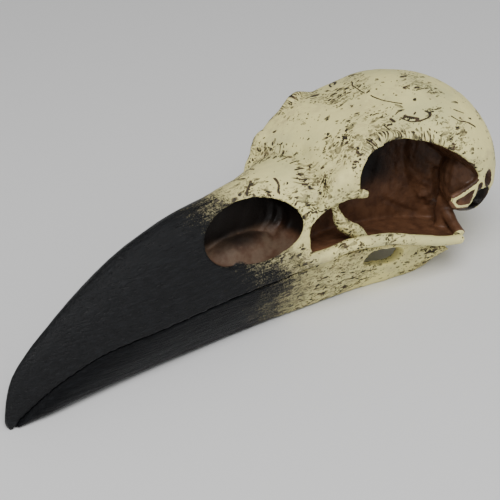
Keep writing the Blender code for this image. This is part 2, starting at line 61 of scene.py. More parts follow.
# Upper bill: height of its ridge and of the mouth line, half width there, and how boxy its
# section is
BILL_START = -0.6
BILL_END = 70.0
RIDGE = (
    (-0.6, -0.8), (0, 3.0), (1.2, 6.7), (4.5, 10.6), (10.5, 15.1), (17, 19.4), (28.6, 25.0),
    (40.3, 27.9), (52, 29.0), (70, 30.6),
)
MOUTH = (
    (-0.6, -1.6), (0.1, -3.3), (0.7, -2.4), (3.7, 0.4), (8.3, 3.6), (14, 6.2), (20, 8.1), (29, 9.2),
    (43, 10.8), (60, 12.2), (68, 12.9), (80, 12.1), (90, 9.4), (95, 7.8), (98.5, 5.6),
)
MOUTH_WIDTH = (
    (-0.6, 0.4), (0, 0.9), (1, 1.3), (4, 2.1), (8.3, 3.2), (14, 4.3), (29, 7.2), (43, 8.9),
    (60, 11.3), (70, 12.4),
)
BILL_FLATNESS = ((0, 0.8), (46, 0.82), (56, 0.6), (62, 0.38), (70, 0.2))

# Braincase and brow: ridge height, half width, height of the widest level and underside
CRANIUM_START = 62.0
CRANIUM_TOP = (
    (62, 28.6), (67, 30.0), (70, 31.4), (74, 34.4), (78, 36.4), (84, 37.3), (90, 39.0), (96, 39.9),
    (102, 38.8), (108, 36.4), (113, 31.5), (117.4, 20.5),
)
CRANIUM_WIDTH = (
    (62, 11.2), (66, 12.1), (70, 13.2), (74, 13.9), (80, 14.0), (87, 15.6), (94, 18.2), (100, 19.9),
    (106, 18.8), (112, 13.6), (117, 1.5),
)
CRANIUM_LEVEL = (
    (62, 27.0), (70, 28.5), (75, 30.5), (80, 33.4), (86, 33.0), (93, 28.5), (100, 24.0),
    (108, 21.5), (117, 18.4),
)
CRANIUM_BASE = ((62, 17.0), (90, 16.5), (97, 15.0), (104, 14.6), (111, 15.3), (117, 17.4))
CRANIUM_SHOULDER = ((62, 0.3), (78, 0.35), (82, 0.7), (87, 1.0), (94, 0.9), (102, 0.95), (117, 0.95))
CRANIUM_BELLY = 0.45
CREASE_APEX = 70.0
CREASE_SLOPE = 0.26
CREASE_LEAN = 0.45
CREASE_HEIGHT = 29.0
LOBE = dict(at=(70.9, 11.6, 28.6), radii=(3.4, 2.3, 3.0))

# Eye socket and the space in front of it, as tilted ovals in side view
SOCKET = dict(at=(88.2, 23.1), radii=(16.4, 9.4), tilt=-31.0, power=2.0)
FRONT_SPACE = dict(at=(76.2, 17.4), radii=(13.4, 8.1), tilt=-2.0, power=2.3)
LOW_START = 66.0
LOW_END = 107.0
LOW_ROOF = ((107.0, 14.0), (97.5, 17.5), (92.0, 22.0), (70.0, 21.0))
FLOOR_START = 64.0
FLOOR_HEIGHT = 14.9
FLOOR_FALL = 0.165
FLOOR_THICKNESS = 1.15
FLOOR_FRONT = 60.5
FLOOR_REAR = 102.0
FLOOR_NARROWING = 2.2
SEPTUM_HALF = 1.6
BRAIN_FRONT = dict(at=(107.5, 0.0, 24.0), radii=(13.0, 12.0, 17.0))

# Nostril
NOSTRIL = dict(at=(51.9, 22.0), radii=(10.4, 5.7), tilt=3.0, power=2.1)
NOSTRIL_WALL = 1.4
NOSTRIL_FLOOR = dict(at=(51.0, 3.8, 14.8), radii=(10.0, 4.6, 5.4))

# The plate between the eyes: half thickness and top along s, and how far its foot spreads
SEPTUM = (
    (61.0, 4.6, 28.0), (68.0, 3.8, 28.5), (74.0, 2.0, 31.0), (80.0, 1.6, 34.0), (89.0, 1.9, 34.0),
    (95.0, 3.0, 34.0), (99.0, 4.8, 34.0), (102.0, 6.8, 30.0), (104.0, 7.4, 28.0),
)
SEPTUM_SPREAD = 1.2
SEPTUM_SINK = 0.5

# Bars and processes: centre lines as (s, t, z)
CHEEK_BAR = (
    (60.5, 11.2, 14.4), (65.0, 12.9, 14.9), (71.0, 14.0, 15.7), (78.0, 15.4, 15.0),
    (87.5, 17.1, 12.3), (94.0, 18.0, 10.2), (98.6, 18.3, 9.2),
)
TAB = ((70.5, 12.1, 26.6), (73.2, 12.8, 25.9), (75.9, 13.1, 24.9))
BROW = (
    (72.8, 12.8, 28.1), (74.1, 12.2, 31.1), (77.2, 12.2, 35.0), (79.6, 12.6, 36.2),
    (82.6, 12.9, 35.2), (87.0, 13.9, 33.3), (92.0, 15.4, 31.8), (97.0, 17.2, 28.6),
    (100.8, 18.7, 24.4),
)
TEAR_STRUT = (
    (69.3, 10.6, 26.5), (69.9, 10.4, 22.6), (70.9, 10.7, 19.8), (73.2, 11.0, 17.4),
    (75.4, 11.3, 15.7), (76.4, 11.4, 13.4),
)
REAR_OF_EYE = (
    (102.6, 18.9, 24.4), (102.2, 18.8, 22.8), (101.1, 18.6, 21.3), (99.1, 18.1, 20.2),
    (97.3, 17.7, 19.4), (95.8, 17.3, 18.9),
)
BLADE_EDGE = ((101.1, 18.7, 21.2), (100.6, 18.6, 19.2), (99.8, 18.4, 17.2))
BLADE_FOOT = ((95.8, 17.3, 18.6), (96.9, 17.6, 17.2), (99.6, 18.3, 16.9))
BLADE_FACE = ((100.8, 18.4, 20.9), (99.2, 18.0, 19.0), (97.8, 17.7, 18.0))
EAR_MASS = dict(at=(103.8, 13.6, 20.4), radii=(5.8, 5.4, 7.9))
QUADRATE = ((102.0, 10.6, 17.2), (101.0, 10.7, 12.8), (100.4, 11.4, 8.8))
QUADRATE_FLARE = ((100.8, 10.8, 13.2), (100.0, 14.2, 11.0), (99.2, 17.2, 9.5))

# The same as rods, in the order in which they are added
RODS = {
    "cheek": dict(path=CHEEK_BAR, radius=1.35, taper=(1.05, 0.75), count=20),
    "tear": dict(path=TEAR_STRUT, radius=1.2, flat=0.8, taper=(0.7, 1.1)),
    "tab": dict(path=TAB, radius=1.6, flat=0.7, taper=(1.0, 0.45)),
    "quadrate": dict(path=QUADRATE, radius=1.9, flat=0.9),
    "flare": dict(path=QUADRATE_FLARE, radius=1.2),
    "rear_of_eye": dict(path=REAR_OF_EYE, radius=0.9, flat=0.8),
    "blade_edge": dict(path=BLADE_EDGE, radius=0.8, flat=0.8),
    "blade_foot": dict(path=BLADE_FOOT, radius=0.8, flat=0.8),
    "blade_face": dict(path=BLADE_FACE, radius=1.7, flat=0.3, taper=(0.4, 1.0)),
}
ROD_SIDES = 14
BROW_ROD = dict(path=BROW, radius=1.25, taper=(0.7, 1.0), count=20)

# Forms behind the eye and at the neck
SKULL_BASE = dict(at=(105.3, 0.0, 15.8), radii=(9.4, 10.0, 8.0))
EAR_HOLLOW = dict(at=(103.6, 19.4, 16.7), radii=(3.5, 4.6, 3.0))
EAR_PIT = dict(at=(104.5, 19.9, 21.9), radii=(1.6, 2.1, 1.8))
NERVE_HOLE = dict(at=(117.4, 0.0, 18.2), radii=(4.5, 3.3, 3.0))
NECK_KNOB = dict(at=(115.3, 0.0, 14.9), radii=(1.6, 1.5, 1.3))

# Lower jaw: half width on the surface below, wall, and the window through each side
JAW_START = 0.6
JAW_END = 98.5
JAW_FLOOR = (
    (0.5, -2.6), (6, -1.6), (12.5, -0.8), (20, -0.5), (32, -0.4), (60, -0.3), (85, 0.0), (91, 0.1),
    (94.5, 0.5), (97, 1.6), (99, 3.6),
)
JAW_FOOT = (
    (0, 0.8), (3.4, 1.9), (9, 3.0), (18, 3.3), (30, 3.6), (41, 4.1), (53, 4.8), (65, 6.0),
    (79, 7.9), (90, 10.2), (99, 11.5),
)
JAW_TOP_WIDTH = (
    (0, 0.7), (4, 1.95), (8.3, 3.0), (14, 4.1), (29, 7.0), (43, 8.7), (60, 11.0), (75, 12.6),
    (90, 14.4), (99, 15.2),
)
JAW_WALL = 2.2
JAW_BULGE = 0.5
JAW_FORK = 27.0
JAW_FORK_RUN = 9.0
WINDOW = dict(at=(82.1, 8.4), radii=(4.8, 2.15), tilt=-11.0, power=3.0)

# The photograph's viewpoint in the skull's own lengths
VIEW_TURN = -40.0
VIEW_LIFT = 28.5
VIEW_AIM = (57.0, 0.0, 18.0)
VIEW_DISTANCE = 290.0
VIEW_LENS = 106.6
VIEW_SHIFT = -0.0388

# Lights, in metres
KEY_PLACE = (-0.22, -0.30, 0.52)
FILL_PLACE = (0.45, -0.35, 0.30)
LIGHT_AIM = (0, 0, 0.02)

# Where the black of the beak ends, on the ridge and on the jaw
HORN_EDGE = 46.5
HORN_SLOPE = 0.7
HORN_HEIGHT = 28.0
JAW_HORN_EDGE = 58.0

# The distance past that edge over which the beak's relief fades out
HORN_FADE = (4.0, -4.0)

# The depth under the outer form over which the hollows' paint begins
HOLLOW_EDGE = (0.35, 0.95)

# The room between the cheek bars, painted as a hollow: its start, end and top, and how wide its edge is
ROOM_START = 61.5
ROOM_END = 103.5
ROOM_TOP = 18.0
ROOM_EDGE = 1.0
ROOM_WALL = 1.1

# Heights over which painted shade darkens the hollows under their roofs, where their shadow falls, and
# where along s the socket starts and its painted shade thins out
SOCKET_PAINTED_SHADE = (15.0, 23.0)
NOSTRIL_PAINTED_SHADE = (17.5, 21.0)
SOCKET_FRONT = (62.0, 64.0)
PAINTED_SHADE_END = (86.0, 95.0)
# Painted shade in the ear's hollow: its middle and reach
EAR_PAINTED_SHADE = dict(at=(103.8, 17.0, 16.0), radii=(4.5, 4.0, 4.5))

# Where dirt lies along the lower jaw: it starts, ends, and lies on the heels again
JAW_DIRT_START = (52, 58)
JAW_DIRT_END = (74, 84)
HEEL_DIRT = (86, 92)

# Stands for a crack or a rim that isn't there
FAR_AWAY = 20.0

# Length of the brow, for the spokes round the rim of the socket
RIM_LENGTH = 45.0

# How far the mouth closes behind its visible line
MOUTH_CLOSING = 0.22

# Rods that stay pale, with the distance from their centre line that they reach
PALE_RODS = (
    (CHEEK_BAR, 1.6),
    (TEAR_STRUT, 1.6),
    (TAB, 1.9),
    (((114.6, 0.0, 14.9), (116.2, 0.0, 14.9)), 2.0),
)

# The blade behind the eye in side view: pale lines, with half their width, the brown between them,
# and how far out, along t, the brown and the ear's hollows are painted
BLADE_LINES = ((REAR_OF_EYE, 0.24), (BLADE_EDGE, 0.2), (BLADE_FOOT, 0.12))
BLADE_AT = (98.6, 19.4)
BLADE_REACH = (4.2, 3.4)
BLADE_SIDE = 13.5

# Pit and hollow of the ear in side view: centre, half length, half height and tilt
EAR_OVALS = ((104.4, 21.6, 1.5, 2.0, 8.0), (103.7, 16.9, 3.3, 2.7, -16.0))

# The brow's crease: how far its edges are eased, how deep it is cut, and from which height up
CREASE_EASE = 3.0
CREASE_DEPTH = 0.30
CREASE_FOOT = (25.5, 27.5)

# The leaf of the tear bone: how far it swells, along which share of its strut, and how wide
LEAF_SWELLING = 0.45
LEAF_RUN = (0.25, 0.6)
LEAF_REACH = 2.0

# Streaks along the beak: how they are stretched, and their height
STREAK_STRETCH = (0.12, 1.0, 1.0)
STREAK_HEIGHT = 0.03

# Where the rear wall of the socket gets rough, along s and up z
ROUGH_ALONG = (86.0, 93.0)
ROUGH_UP = (12.0, 15.0)

# Lumps on the rear wall of the socket and in the nostril: the middle and the reach
LUMPS = (((100.5, 4.5, 15.0), (3.0, 4.0, 5.5)), ((60.0, 4.0, 20.5), (3.0, 3.0, 2.5)))

# Grooves as a path, a width and a depth
HOLLOW_GROOVES = (
    (((99.5, 9.3, 21.0), (100.4, 9.2, 16.5), (100.8, 9.0, 12.5)), 0.8, 0.9),
    (((91.0, 3.5, 15.0), (95.0, 4.2, 12.0), (98.0, 5.5, 10.5)), 0.5, 0.35),
)
OUTER_GROOVES = (
    (((97.4, 17.7, 18.6), (99.2, 18.2, 18.7), (100.2, 18.5, 19.4)), 0.7, 0.5),
)
JAW_GROOVES = (
    (((62.0, 10.0, 5.5), (72.0, 11.5, 4.2), (80.0, 12.6, 3.8)), 0.8, 0.25),
    (((88.5, 14.3, 7.2), (91.0, 14.9, 7.4), (93.5, 15.2, 7.2)), 1.0, 0.8),
)

# A direction out of the bone where the cracks are, how far round a crack is searched and how many
# points its line has
OUTWARD = (0.0, 0.55, 0.84)
CRACK_MARGIN = 2.5
CRACK_POINTS = 14

# Dark cracks and pits on the outside as a run of (s, t, z) and half its width
CRACKS = (
    (((56.2, 1.0, 29.3), (54.8, 2.0, 28.8), (53.7, 3.1, 28.1)), 0.22),
    (((60.6, 3.2, 29.2), (60.4, 4.3, 28.6), (59.8, 5.3, 27.8)), 0.22),
    (((66.4, 1.2, 30.2), (69.5, 1.8, 31.0)), 0.15),
    (((67.5, 2.6, 30.2), (69.1, 3.5, 30.9)), 0.15),
    (((65.7, 4.7, 29.4), (68.9, 7.4, 30.7)), 0.2),
    (((65.8, 6.3, 28.7), (68.1, 8.9, 30.2)), 0.18),
    (((64.7, 6.7, 28.1), (67.5, 9.9, 29.9)), 0.2),
    (((65.5, 7.8, 27.6), (67.4, 10.0, 28.7)), 0.16),
    (((65.9, 3.4, 29.8), (69.1, 5.3, 30.9)), 0.16),
    (((63.6, 4.6, 28.7), (65.3, 6.2, 28.9)), 0.13),
    (((88.4, 10.4, 37.0), (90.2, 11.9, 36.6)), 0.25),
    (((87.4, 10.3, 36.9), (88.2, 11.7, 36.5), (89.9, 12.5, 36.3), (92.3, 12.7, 36.5)), 0.15),
    (((92.3, 12.7, 36.5), (93.3, 12.2, 36.9), (92.9, 11.7, 37.1)), 0.22),
    (((85.5, 9.1, 36.8), (85.6, 9.9, 36.6)), 0.3),
    (((82.9, 9.9, 36.3), (82.9, 11.0, 36.0)), 0.16),
    (((97.9, 14.2, 35.4), (99.2, 15.0, 34.5), (101.2, 15.1, 33.7), (102.9, 15.6, 32.5)), 0.15),
    (((100.0, 12.7, 35.8), (101.6, 13.3, 34.9)), 0.1),
    (((87.9, 1.2, 38.4), (88.4, 4.5, 38.3), (90.0, 7.0, 38.3)), 0.12),
)

# Where scratches gather: how much, the middle and the reach
DIRTY = (
    (0.9, (69.0, 9.0, 27.0), (5.0, 5.0, 5.0)),
    (0.8, (62.0, 11.0, 14.0), (7.0, 6.0, 4.5)),
    (0.55, (78.0, 12.0, 30.0), (6.0, 6.0, 6.0)),
    (0.5, (84.0, 5.0, 38.0), (6.0, 5.0, 5.0)),
    (0.6, (52.0, 4.0, 28.0), (8.0, 6.0, 3.0)),
    (0.5, (76.0, 9.0, 34.0), (5.0, 4.0, 4.0)),
    (1.2, (73.0, 11.2, 18.5), (4.0, 2.5, 4.0)),
    (0.4, (80.0, 15.5, 14.6), (14.0, 3.0, 3.0)),
)

# Scratches, flakes, specks and pits: size in millimetres, the share of cells that the dirt adds, the
# share that is always there, and the fading edge
SCRATCHES = (
    ((5.0, 0.95, 0.95), 0.45, 0.015, (0.40, 0.34)),
    ((2.4, 0.66, 0.66), 0.55, 0.02, (0.42, 0.33)),
    ((1.0, 2.6, 1.4), 0.10, 0.02, (0.38, 0.30)),
    ((0.62, 0.45, 0.45), 0.50, 0.05, (0.46, 0.34)),
    ((1.7, 1.2, 1.2), 0.0, 0.04, (0.33, 0.26)),
)

# How far patches move the edge of the black, in millimetres, and where along X, in millimetres, the
# socket's paint gives way to the nostril's
PATCH_REACH = 14.0
NOSTRIL_BORDER = (3.5, 1.5)

SKULL_NODES = (
    "braincase",
    "upper_bill",
    "septum",
    "palate",
    "cheek_bar_left",
    "cheek_bar_right",
    "tear_bone_left",
    "tear_bone_right",
    "quadrate_left",
    "quadrate_right",
)
JAW_NODES = ("lower_jaw",)


def smooth(stations, x):
    """Monotone cubic curve through (x, y) stations."""
    xs = np.array([p[0] for p in stations], float)
    ys = np.array([p[1] for p in stations], float)
    steps = np.diff(xs)
    slopes = np.diff(ys) / steps
    ends = np.zeros_like(ys)
    ends[0] = slopes[0]
    ends[-1] = slopes[-1]
    for i in range(1, len(xs) - 1):
        if slopes[i - 1] * slopes[i] > 0:
            w1 = 2 * steps[i] + steps[i - 1]
            w2 = steps[i] + 2 * steps[i - 1]
            ends[i] = (w1 + w2) / (w1 / slopes[i - 1] + w2 / slopes[i])
    x = np.clip(x, xs[0], xs[-1])
    i = np.clip(np.searchsorted(xs, x) - 1, 0, len(xs) - 2)
    h = steps[i]
    u = (x - xs[i]) / h
    return (
        (1 + 2 * u) * (1 - u) ** 2 * ys[i]
        + u * (1 - u) ** 2 * h * ends[i]
        + u * u * (3 - 2 * u) * ys[i + 1]
        + u * u * (u - 1) * h * ends[i + 1]
    )


def eased(start, end, count, front=0.0, rear=0.0):
    """Stations from start to end, packed closer at an end by the share given for it."""
    u = np.linspace(0, 1, count)
    slow_start = 1 - np.cos(0.5 * np.pi * u)
    slow_end = np.sin(0.5 * np.pi * u)
    u = u * (1 - front - rear) + slow_start * front + slow_end * rear
    return start + (end - start) * u


def placed(points):
    """Millimetres along s, t and z to Blender's metres, with the beak towards -X and t towards -Y.

    The head is pitched until the hooked tip of the beak and the heels of the lower jaw are level.
    """
    s, t, z = np.asarray(points, float).T
    pitch = np.arctan2(TIP_DROP, HEEL)
    back = HEEL + (s - HEEL) * np.cos(pitch) + z * np.sin(pitch)
    high = (HEEL - s) * np.sin(pitch) + z * np.cos(pitch)
    return np.stack([back - MIDDLE_S, -t, high], 1) * MM


def linked(name, data):
    obj = bpy.data.objects.new(name, data)
    bpy.context.scene.collection.objects.link(obj)
    return obj


def new_object(name, vertices, faces):
    mesh = bpy.data.meshes.new(name)
    mesh.from_pydata([tuple(v) for v in vertices], [], faces)
    obj = linked(name, mesh)
    tidy(obj)
    return obj


def tidy(obj):
    """Turns every face of a closed mesh outwards."""
    bm = bmesh.new()
    bm.from_mesh(obj.data)
    bmesh.ops.remove_doubles(bm, verts=bm.verts, dist=1e-7)
    bmesh.ops.recalc_face_normals(bm, faces=bm.faces)
    bm.to_mesh(obj.data)
    bm.free()


def loft(name, rings):
    """Joins rings of equal count into a closed body with flat ends."""
    count = len(rings[0])
    vertices = placed(np.concatenate(rings))
    faces = []
    for r in range(len(rings) - 1):
        for i in range(count):
            j = (i + 1) % count
            faces.append((r * count + i, r * count + j, (r + 1) * count + j, (r + 1) * count + i))
    faces.append(tuple(range(count)))
    faces.append(tuple((len(rings) - 1) * count + i for i in reversed(range(count))))
    return new_object(name, vertices, faces)


def apply_modifiers(obj):
    depsgraph = bpy.context.evaluated_depsgraph_get()
    mesh = bpy.data.meshes.new_from_object(obj.evaluated_get(depsgraph))
    obj.modifiers.clear()
    old = obj.data
    obj.data = mesh
    bpy.data.meshes.remove(old)


def combine(obj, others, operation):
    """One Boolean of obj with a collection of closed meshes, which are then removed."""
    group = bpy.data.collections.new("operands")
    for other in others:
        group.objects.link(other)
    modifier = obj.modifiers.new("boolean", "BOOLEAN")
    modifier.operation = operation
    modifier.solver = "MANIFOLD"
    modifier.operand_type = "COLLECTION"
    modifier.collection = group
    apply_modifiers(obj)
    for other in others:
        bpy.data.objects.remove(other)
    bpy.data.collections.remove(group)
    return obj


def ellipsoid(name, at, radii, side=1):
    bm = bmesh.new()
    bmesh.ops.create_uvsphere(bm, u_segments=28, v_segments=18, radius=1.0)
    points = np.array([v.co[:] for v in bm.verts]) * radii + (at[0], side * at[1], at[2])
    for vertex, point in zip(bm.verts, placed(points)):
        vertex.co = point
    mesh = bpy.data.meshes.new(name)
    bm.to_mesh(mesh)
    bm.free()
    obj = linked(name, mesh)
    tidy(obj)
    return obj


def curve_points(path, count):
    """Smooth points along a path of (s, t, z), spaced by its length."""
    path = np.array(path, float)
    run = np.concatenate([[0], np.cumsum(np.linalg.norm(np.diff(path, axis=0), axis=1))])
    along = np.linspace(0, run[-1], count)
    return np.stack([smooth(list(zip(run, path[:, k])), along) for k in range(3)], 1)


def tube(name, path, radius, side, flat=1.0, taper=(1.0, 1.0), count=14):
    """A rod along a path, flattened across t by flat and tapering between the two end shares."""
    points = curve_points(path, count)
    ways = np.gradient(points, axis=0)
    ways /= np.linalg.norm(ways, axis=1)[:, None]
    rings = []
    turn = np.linspace(0, 2 * np.pi, ROD_SIDES, endpoint=False)
    for k, (point, way) in enumerate(zip(points, ways)):
        out = np.array([0.0, 1.0, 0.0]) - way * way[1]
        out /= np.linalg.norm(out)
        over = np.cross(way, out)
        u = k / (count - 1)
        size = radius * (taper[0] * (1 - u) + taper[1] * u)
        ring = point + size * (np.cos(turn)[:, None] * out * flat + np.sin(turn)[:, None] * over)
        ring[:, 1] *= side
        rings.append(ring)
    return loft(name, rings)


def oval(at, radii, tilt, power, count=56):
    """Points of a tilted superellipse in side view."""
    a = np.linspace(0, 2 * np.pi, count, endpoint=False)
    x = radii[0] * np.sign(np.cos(a)) * np.abs(np.cos(a)) ** (2 / power)
    y = radii[1] * np.sign(np.sin(a)) * np.abs(np.sin(a)) ** (2 / power)
    c, s = np.cos(np.radians(tilt)), np.sin(np.radians(tilt))
    return np.stack([at[0] + x * c - y * s, at[1] + x * s + y * c], 1)


def pocket(name, outline, inner, outer, side, rounding):
    """A hollow seen from the side as outline, closed at t = inner with a rounded bottom."""
    centre = outline.mean(0)
    rings = []
    for t, share in (
        (inner, 0.80),
        (inner + 0.15 * rounding, 0.91),
        (inner + 0.45 * rounding, 0.97),
        (inner + rounding, 1.0),
        (outer, 1.0),
    ):
        flat = centre + (outline - centre) * share
        rings.append(np.stack([flat[:, 0], np.full(len(flat), side * t), flat[:, 1]], 1))
    return loft(name, rings)


def floor_top(s):
    return FLOOR_HEIGHT - FLOOR_FALL * (s - FLOOR_START)


def across(s, t, z):
    """Points across the skull, all at the same s."""
    return np.stack([np.full(len(t), s), t, z], 1)


def bill():
    stations = eased(BILL_START, BILL_END, 46, front=0.85)
    rings = []
    arch = np.radians(np.linspace(-90, 90, 41))
    flats = np.linspace(1, -1, 7)[1:-1]
    for s in stations:
        base = smooth(MOUTH, s) + GAP / 2
        half = smooth(MOUTH_WIDTH, s)
        high = smooth(RIDGE, s) - base
        t = half * np.sin(arch)
        z = base + high * np.cos(arch) ** (2 * smooth(BILL_FLATNESS, s))
        z[0] = z[-1] = base
        t = np.concatenate([t, half * flats])
        z = np.concatenate([z, np.full(len(flats), base)])
        rings.append(across(s, t, z))
    return loft("upper_bill", rings)


def cranium():
    stations = eased(CRANIUM_START, CRANIUM_TOP[-1][0], 44, rear=0.8)
    rings = []
    half_turn = np.radians(np.linspace(-90, 90, 37))
    for s in stations:
        half = smooth(CRANIUM_WIDTH, s)
        level = smooth(CRANIUM_LEVEL, s)
        up = smooth(CRANIUM_TOP, s) - level
        down = level - smooth(CRANIUM_BASE, s)
        t = half * np.sin(half_turn)
        arch = np.abs(np.cos(half_turn))
        over = level + up * arch ** smooth(CRANIUM_SHOULDER, s)
        under = level - down * arch**CRANIUM_BELLY
        t = np.concatenate([t, t[1:-1][::-1]])
        z = np.concatenate([over, under[1:-1][::-1]])
        rings.append(across(s, t, z))
    return loft("cranium", rings)


def crease_cutter():
    """Everything ahead of the V where the brow rises from the bill."""
    rings = []
    ahead = CRANIUM_START - 40.0
    for z in (0.0, 48.0):
        apex = CREASE_APEX + CREASE_LEAN * (z - CREASE_HEIGHT)
        wing = apex - CREASE_SLOPE * BEYOND
        corners = ((ahead, BEYOND), (wing, BEYOND), (apex, 0), (wing, -BEYOND), (ahead, -BEYOND))
        rings.append(np.array([(s, t, z) for s, t in corners], float))
    return loft("crease_cutter", rings)


def floor_plate():
    """The palate, dished between the two cheek bars and narrowing behind them."""
    rings = []
    share = np.linspace(-1, 1, 13)
    for s in np.linspace(FLOOR_FRONT, FLOOR_REAR, 14):
        half, edge = (smooth([(p[0], p[k]) for p in CHEEK_BAR], s) for k in (1, 2))
        half -= FLOOR_NARROWING * max(s - CHEEK_BAR[-1][0], 0.0)
        top = floor_top(s) + max(edge - floor_top(s), 0.0) * share**2
        over = across(s, share * half, top)
        under = (over - (0, 0, FLOOR_THICKNESS))[::-1]
        rings.append(np.concatenate([over, under]))
    return loft("floor_plate", rings)


def septum():
    """The plate between the eyes, with its foot sunk in the palate."""
    rings = []
    for s, half, roof in SEPTUM:
        foot = floor_top(s) - SEPTUM_SINK
        wide = half + SEPTUM_SPREAD
        rings.append(np.array([(s, half, roof), (s, -half, roof), (s, -wide, foot), (s, wide, foot)]))
    return loft("septum", rings)


def hollow_cutters(side):
    """The eye socket, the space ahead of it and the gap under both, one side."""
    socket = pocket("socket", oval(**SOCKET), SEPTUM_HALF, BEYOND, side, 4.0)
    front = pocket("front_space", oval(**FRONT_SPACE), SEPTUM_HALF + 2.0, BEYOND, side, 3.0)
    low = [(LOW_START, floor_top(LOW_START)), (LOW_END, floor_top(LOW_END))]
    low = pocket("low_space", np.array(low + list(LOW_ROOF)), SEPTUM_HALF + 1.0, BEYOND, side, 2.0)
    return [socket, front, low]


def floor_keeper():
    """All below the floor of the sockets, taken out of the cutters."""
    rings = []
    for s in (50.0, 112.0):
        top = floor_top(s)
        corners = ((BEYOND + 1, top), (-BEYOND - 1, top), (-BEYOND - 1, -20), (BEYOND + 1, -20))
        rings.append(np.array([(s, t, z) for t, z in corners], float))
    return loft("floor_keeper", rings)


def outer_form():
    """The outside of the upper skull before its hollows are cut."""
    skull = cranium()
    combine(skull, [crease_cutter()], "DIFFERENCE")
    pieces = [bill(), septum(), ellipsoid("skull_base", **SKULL_BASE)]
    for side in (1, -1):
        pieces.append(tube("brow", side=side, **BROW_ROD))
        pieces.append(ellipsoid("lobe", **LOBE, side=side))
        pieces.append(ellipsoid("ear_mass", **EAR_MASS, side=side))
    return combine(skull, pieces, "UNION")


def hollow(skull):
    """Cuts the sockets and nostrils, then adds the floor, the bars and the processes."""
    for side in (1, -1):
        parts = hollow_cutters(side)
        cutter = parts.pop()
        combine(cutter, parts, "UNION")
        kept = [floor_keeper(), septum(), ellipsoid("brain", **BRAIN_FRONT)]
        kept.append(ellipsoid("base", **SKULL_BASE))
        kept.append(ellipsoid("ear_mass", **EAR_MASS, side=side))
        combine(cutter, kept, "DIFFERENCE")
        nostril = pocket("nostril", oval(**NOSTRIL), NOSTRIL_WALL, BEYOND, side, 4.0)
        combine(nostril, [ellipsoid("nostril_floor", **NOSTRIL_FLOOR, side=side)], "DIFFERENCE")
        combine(skull, [cutter, nostril], "DIFFERENCE")
    pieces = [floor_plate(), ellipsoid("knob", **NECK_KNOB)]
    for side in (1, -1):
        pieces += [tube(name, side=side, **rod) for name, rod in RODS.items()]
    combine(skull, pieces, "UNION")
    holes = [ellipsoid("nerve_hole", **NERVE_HOLE)]
    for side in (1, -1):
        holes += [ellipsoid("ear", **EAR_HOLLOW, side=side), ellipsoid("pit", **EAR_PIT, side=side)]
    return combine(skull, holes, "DIFFERENCE")


def jaw_outside():
    """The jaw as one solid wedge, from its rounded floor up to the mouth line."""
    rings = []
    up = np.linspace(0, 1, 9)
    for s in eased(JAW_START, JAW_END, 40, front=0.6, rear=0.2):
        foot = smooth(JAW_FOOT, s)
        brim = smooth(JAW_TOP_WIDTH, s)
        low = smooth(JAW_FLOOR, s)
        top = smooth(MOUTH, s) - GAP / 2
        t = foot + (brim - foot) * up + JAW_BULGE * np.sin(np.pi * up)
        side = across(s, t, low + (top - low) * up)
        rings.append(np.concatenate([side, side[::-1] * (1, -1, 1)]))
    return loft("lower_jaw", rings)


def jaw_inside():
    """The space between the two branches of the jaw, open above, below and behind."""
    rings = []
    for s in np.linspace(JAW_FORK, JAW_END + 6, 26):
        opened = np.sqrt(np.clip((s - JAW_FORK) / JAW_FORK_RUN, 0.01, 1))
        end = min(s, JAW_END)
        foot = max(smooth(JAW_FOOT, end) - JAW_WALL, 0.25) * opened
        brim = (smooth(JAW_TOP_WIDTH, end) - JAW_WALL) * opened
        low = -4.0
        top = smooth(MOUTH, end) + 2.0
        rings.append(np.array([(s, foot, low), (s, brim, top), (s, -brim, top), (s, -foot, low)]))
    return loft("jaw_inside", rings)


def jaw():
    """The lower jaw: two branches joined in front, each with its window."""
    cutters = [jaw_inside()]
    for side in (1, -1):
        cutters.append(pocket("window", oval(**WINDOW), 3.0, BEYOND, side, 0.5))
    return combine(jaw_outside(), cutters, "DIFFERENCE")


def unplaced(points):
    """The inverse of placed: metres back to millimetres along s, t and z."""
    x, y, z = np.asarray(points, float).T / MM
    pitch = np.arctan2(TIP_DROP, HEEL)
    back, high = x + MIDDLE_S - HEEL, z
    s = HEEL + back * np.cos(pitch) - high * np.sin(pitch)
    return np.stack([s, -y, back * np.sin(pitch) + high * np.cos(pitch)], 1)


def step(low, high, x):
    """Smooth rise from 0 at low to 1 at high."""
    u = np.clip((x - low) / (high - low), 0, 1)
    return u * u * (3 - 2 * u)


def lattice_noise(points, size, seed):
    """Smooth random values from -1 to 1 with features of the given size."""
    q = points / size + seed * 17.31
    cell = np.floor(q)
    f = q - cell
    f = f * f * (3 - 2 * f)
    total = np.zeros(len(points))
    for corner in range(8):
        bits = np.array([corner & 1, corner >> 1 & 1, corner >> 2 & 1])
        key = (cell + bits) @ np.array([127.1, 311.7, 74.7]) + seed
        value = np.modf(np.sin(key) * 43758.5453)[0]
        total += value * np.prod(np.where(bits, f, 1 - f), axis=1)
    return total


def layered_noise(points, size, seed, layers=3):
    return sum(lattice_noise(points, size / 2**k, seed + k) / 2**k for k in range(layers))


def mesh_points(obj, what="co"):
    """Places of the vertices in metres, or their normals."""
    points = np.empty(len(obj.data.vertices) * 3)
    obj.data.vertices.foreach_get(what, points)
    return points.reshape(-1, 3)


def skull_points(obj):
    """Places of the vertices in millimetres along s, t and z, and the same on the left half."""
    points = unplaced(mesh_points(obj))
    return points, np.stack([points[:, 0], np.abs(points[:, 1]), points[:, 2]], 1)


def set_points(obj, points):
    obj.data.vertices.foreach_set("co", points.ravel())
    obj.data.update()


def raise_skin(obj, lift):
    """Moves each vertex along its normal by its own lift in millimetres."""
    set_points(obj, mesh_points(obj) + mesh_points(obj, "normal") * lift[:, None] * MM)


